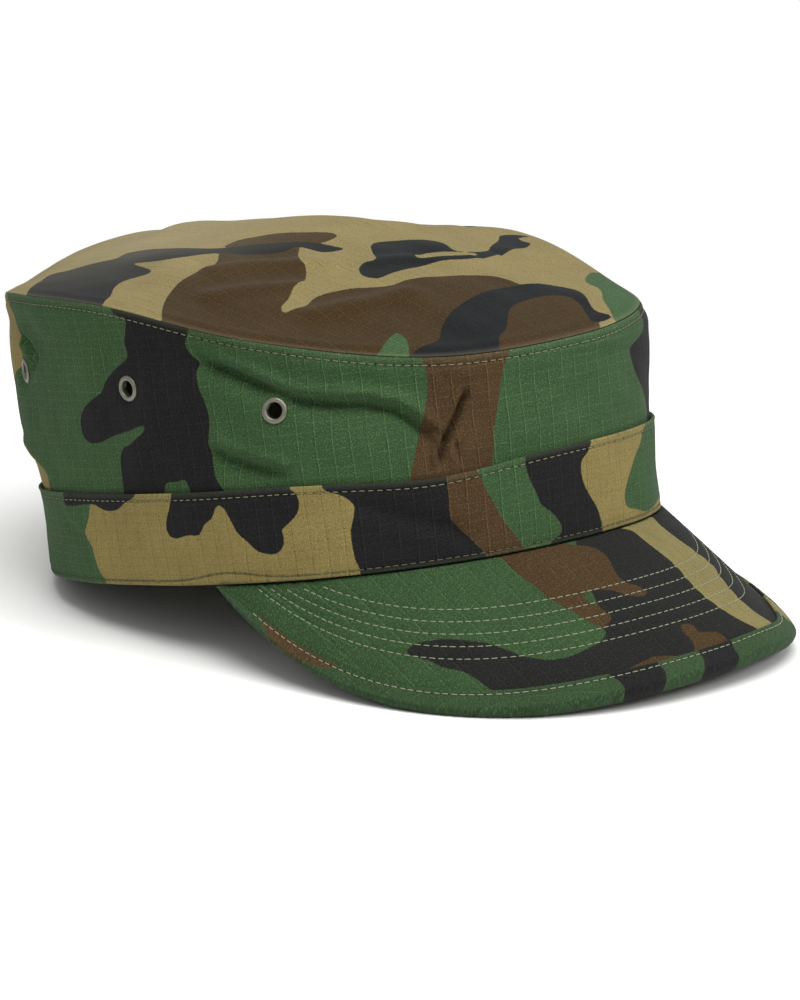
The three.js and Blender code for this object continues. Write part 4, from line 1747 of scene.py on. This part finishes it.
# The ring of an eyelet in section, from the edge of its hole round the flange to the washer inside
eyelet_section = table(
    "radius height",
    (2.4, -1.5),
    (2.4, 0.1),
    (2.48, 0.36),
    (2.7, 0.52),
    (3.05, 0.56),
    (3.4, 0.48),
    (3.7, 0.28),
    (3.9, 0.04),
    (2.95, 0.02),
    (2.9, -1.25),
    (4.0, -1.25),
    (3.9, -1.5),
    (3.4, -1.7),
    (2.7, -1.7),
)


def turn_grid(columns, rows, bottom, top):
    """A grid of turns and heights all round the crown, from a height up to a curve."""
    even = np.linspace(-seam_turn, seam_turn, 2001)
    density = 1 + finest_gain * bump_at(even, finest_turn, finest_width)
    share = np.concatenate([[0.0], np.cumsum((density[1:] + density[:-1]) / 2)])
    turns = np.interp(np.linspace(0, share[-1], columns), share, even)[:, None] * np.ones(rows)
    share = np.linspace(0, 1, rows)
    return turns, bottom * (1 - share) + top(turns) * share


def open_eyelets(turns, heights):
    """Move the grid aside from each eyelet and mark the cells that its hole takes out."""
    opening, spread = eyelet_opening, eyelet_spread
    holes = np.zeros((turns.shape[0] - 1, turns.shape[1] - 1), bool)
    flat = np.stack([arc_length(turns), heights], -1)
    middles = (flat[:-1, :-1] + flat[1:, :-1] + flat[1:, 1:] + flat[:-1, 1:]) / 4
    moved = flat.copy()
    for place in eyelet_places():
        taken = np.linalg.norm(middles - place, axis=-1) < eyelet_cells
        holes |= taken
        ring = np.zeros(turns.shape, bool)
        for i, j in np.argwhere(taken):
            ring[i:i + 2, j:j + 2] = True
        away = flat - place
        apart = np.maximum(np.linalg.norm(away, axis=-1), 1e-6)
        pushed = np.where(ring, opening, opening + apart / spread * (spread - opening))
        pushed = np.where(apart < spread, np.maximum(pushed, opening), apart)
        aside = place + away * (pushed / apart)[..., None]
        moved = np.where((apart < spread)[..., None], aside, moved)
    fine = np.linspace(-np.pi * 1.05, np.pi * 1.05, 4001)
    return np.interp(moved[..., 0], arc_length(fine), fine), moved[..., 1], holes


def add_wall():
    turns, heights = turn_grid(541, 81, crown_cloth / 2, lambda turn: wall_top(turn) - wall_edge_round)
    turns, heights, holes = open_eyelets(turns, heights)
    flat = np.stack([arc_length(turns), heights], -1)
    distances = print_distances(panels["wall"], wall_print, "green", flat)
    below = wall_top(turns) - heights
    return cloth_piece(
        "crown_wall_cloth", wall_material, wall_outer(turns, heights), wall_inner(turns, heights), flat,
        distances, edge_rub_and_highlight * smooth_step(1.6, 0.4, below), below - seam_stitch, holes,
    )


def add_band():
    turns, heights = turn_grid(461, 25, band_cloth / 2, lambda turn: band_top(turn) - band_cloth / 2)
    flat = np.stack([arc_length(turns), heights], -1)
    distances = print_distances(panels["band"], band_print, "tan", flat)
    edge = smooth_step(1.2, 0.5, heights) + smooth_step(1.2, 0.5, band_top(turns) - heights)
    from_top = band_top(turns) - heights - band_stitch
    from_hem = heights - hem_stitch(turns)
    stitches = np.where(heights > band_height / 2, from_top, from_hem)
    return cloth_piece(
        "band_cloth", band_material, band_outer(turns, heights), band_inner(turns, heights), flat,
        distances, edge * band_edge_rub_and_highlight, stitches,
    )


def add_top():
    """The top, on a square grid that is rounded to the rim, so that its middle has no pole."""
    side = np.linspace(-1, 1, 157)
    across, along = np.meshgrid(side, side, indexing="ij")
    x = across * np.sqrt(1 - along**2 / 2)
    y = along * np.sqrt(1 - across**2 / 2)
    rim = 1 - (top_tuck + top_edge_cloth / 2) / rim_side
    reach = np.hypot(x, y) * rim
    turns = np.arctan2(-x, -y)
    flat = top_point(turns, reach)[..., :2]
    distances = print_distances(panels["top"], top_print, "tan", flat)
    # A painted sheen over the rear of the top, added to its edge wear, so both mix towards its light
    # colour
    painted_sheen = top_painted_sheen["strength"] * bump_at(from_spot(flat, top_painted_sheen), 0.0, top_painted_sheen["wide"])
    return cloth_piece(
        "crown_top_cloth", top_material, top_outer(turns, reach), top_inner(turns, reach), flat,
        distances, edge_rub_and_highlight * smooth_step(0.975, 1.0, reach) + painted_sheen, np.full(reach.shape, no_stitches),
    )


def add_visor(name, side, rows):
    ways = np.linspace(-visor_end, visor_end, 231), np.linspace(0, 1, 61)
    across, share = np.meshgrid(*ways, indexing="ij")
    half = visor_cloth / 2 / visor_length(across)
    out = half * (1 - share) + (1 - half) * share
    flat = visor_flat(across, out)
    distances = print_distances(panels["visor"], rows, "green", flat)
    return cloth_piece(
        name, visor_material, visor_ply(across, out, side, 1), visor_ply(across, out, side, -1), flat,
        distances, np.zeros(out.shape), np.full(out.shape, no_stitches),
    )


def add_seam_allowance():
    """The visor's own seam allowance, turned up inside the front of the crown."""
    spread = math.radians(visor_spread)
    ways = np.linspace(-spread, spread, 161), np.linspace(0, 1, 9)
    turns, share = np.meshgrid(*ways, indexing="ij")
    heights = allowance_low + allowance_height * share
    behind = -wall_inset - crown_cloth - allowance_gap + band_wear(turns, np.maximum(heights, 0.0))
    outer = wall_point(turns, heights / rim_height(turns), behind)
    inner = wall_point(turns, heights / rim_height(turns), behind - allowance_cloth)
    flat = np.stack([arc_length(turns), heights], -1)
    distances = print_distances(panels["band"], [], "green", flat)
    return cloth_piece(
        "visor_seam_allowance", visor_material, outer, inner, flat, distances, np.zeros(turns.shape),
        np.full(turns.shape, no_stitches),
    )


def add_binding():
    ways = np.linspace(-binding_end, binding_end, 331), np.linspace(-1, 1, 41)
    across, share = np.meshgrid(*ways, indexing="ij")
    outer = tape_point(across, share, binding_cloth / 2)
    inner = tape_point(across, share, -binding_cloth / 2)
    leg = np.maximum(np.abs(share) - tape_fold, 0) / tape_leg * binding_width
    round_edge = tape_fold_length * (tape_fold - np.minimum(np.abs(share), tape_fold))
    flat = visor_flat(across, 1 + (round_edge - leg) / visor_length(across))
    distances = print_distances(panels["visor"], binding_print, "green", flat)
    return cloth_piece(
        "visor_binding_tape", binding_material, outer, inner, flat, distances, np.zeros(leg.shape),
        leg - binding_stitch,
    )


def add_eyelets():
    """The rings of the eyelets, each with the name of the solid that it stands for."""
    profile = [(row["radius"], row["height"]) for row in eyelet_section]
    pieces = []
    for side, label in ((1, "right"), (-1, "left")):
        for row in eyelet_rows:
            turn = np.array(math.radians(side * row["turn"]))
            level = np.array(row["level"])
            step = 0.02
            offset = np.array(-wall_inset)
            place = wall_point(turn, level, offset)
            along = wall_point(turn - step, level, offset) - wall_point(turn + step, level, offset)
            upward = wall_point(turn, level + step, offset) - wall_point(turn, level - step, offset)
            axis = unit(np.cross(along, upward))
            name = f"eyelet_{label}_{row['name']}"
            pieces.append((lathed(f"{name}_ring", eyelet_material, profile, 48, place, axis), name))
    return pieces


def add_threads():
    """All rows of stitches, each with the slot of the cloth that it is sewn through."""
    seam_end = math.pi - 0.02
    turns = np.linspace(-seam_end, seam_end, 900)
    across = np.linspace(-stitches_end, stitches_end, 500)
    tape_share = tape_fold + tape_leg * binding_stitch / binding_width
    wall_faces = crown_thread, wall_outer, wall_inner, turns
    band_faces = band_outer, band_inner, turns
    rows = [
        ("crown_topstitch", *wall_faces, wall_top(turns) - seam_stitch, "wall_cloth"),
        ("band_topstitch", crown_thread, *band_faces, band_top(turns) - band_stitch, "band_cloth"),
        ("hem_topstitch", hem_thread, *band_faces, hem_stitch(turns), "band_cloth"),
    ]
    for number, depth in enumerate(visor_rows, 1):
        out = 1 - depth / visor_length(across)
        sewn = out > 0.03
        for side, label in ((1, "top"), (-1, "under")):
            rows.append((
                f"visor_stitch_{label}_{number}", visor_thread,
                lambda a, b, side=side: visor_ply(a, b, side, 1),
                lambda a, b, side=side: visor_ply(a, b, side, -1),
                across[sewn], out[sewn], "visor_cloth",
            ))
    for side, label in ((1, "top"), (-1, "under")):
        rows.append((
            f"binding_stitch_{label}", visor_thread,
            lambda a, b: tape_point(a, b, binding_cloth / 2),
            lambda a, b: tape_point(a, b, -binding_cloth / 2),
            across, np.full_like(across, side * tape_share), "binding_cloth",
        ))
    return [(stitch_row(*row[:-1]), row[-1]) for row in rows]


cloth_slots = [
    (add_wall(), "crown_wall", "wall_cloth"),
    (add_band(), "band", "band_cloth"),
    (add_top(), "crown_top", "top_cloth"),
    (add_visor("visor_top_cloth", 1, visor_print), "visor_top", "visor_cloth"),
    (add_visor("visor_under_cloth", -1, underside_print), "visor_under", "visor_cloth"),
    (add_binding(), "visor_binding", "binding_cloth"),
]
for piece, node, slot in cloth_slots:
    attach(piece, "root")
    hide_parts(node)

allowance = add_seam_allowance()
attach(allowance, "root")

for piece, node in add_eyelets():
    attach(piece, "root")
    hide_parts(node)

for piece, slot in add_threads():
    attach(piece, "root")


# Floor, light and camera

floor_radius = 370.0
floor_sides = 96
world_light = 0.54
softboxes = table(
    "name turn rise distance size power",
    ("overhead_softbox", 25, 68, 1.7, 1.4, 28.0),
    ("rear_softbox", 215, 32, 1.6, 0.8, 4.5),
    ("front_softbox", -12, 32, 1.5, 0.5, 6.0),
)
floor_material = plain_material("pale_floor", shade(240, 240, 238), 0.9, mottle=0.01, scale=20.0)


def add_floor():
    """A round floor that ends where it is as white as the studio behind it."""
    angles = np.arange(floor_sides) * 2 * np.pi / floor_sides
    edge = floor_radius * np.stack([np.cos(angles), np.sin(angles), 0 * angles], -1)
    return add_mesh("floor", edge, np.arange(floor_sides)[None], floor_material)


def add_light(name, turn, rise, distance, size, power):
    """A round soft light that faces the origin, from a turn and a rise above the floor."""
    data = bpy.data.lights.new(name, "AREA")
    data.shape = "DISK"
    data.size = size
    data.energy = power
    light = bpy.data.objects.new(name, data)
    turn, rise = math.radians(turn), math.radians(rise)
    direction = np.array([
        -math.sin(turn) * math.cos(rise),
        -math.cos(turn) * math.cos(rise),
        math.sin(rise),
    ])
    first = unit(np.cross([0.0, 0.0, 1.0], direction))
    second = np.cross(direction, first)
    turned = Matrix(np.stack([first, second, direction], -1))
    light.matrix_world = Matrix.Translation(direction * distance) @ turned.to_4x4()
    bpy.context.scene.collection.objects.link(light)


def soft_white_world(strength):
    """Soft light from all sides, in front of a white studio."""
    world = bpy.data.worlds.new("studio")
    world.use_nodes = True
    nodes = Nodes(world.node_tree)
    background = world.node_tree.nodes["Background"]
    background.inputs["Color"].default_value = (1.0, 1.0, 1.0, 1.0)
    seen = nodes.add("ShaderNodeLightPath").outputs["Is Camera Ray"]
    nodes.put(background.inputs["Strength"], nodes.ramp(seen, 0.0, 1.0, strength, 1.0))
    bpy.context.scene.world = world


add_floor()
for row in softboxes:
    add_light(**row)
soft_white_world(world_light)
add_camera()
bpy.context.scene.view_settings.view_transform = "Standard"
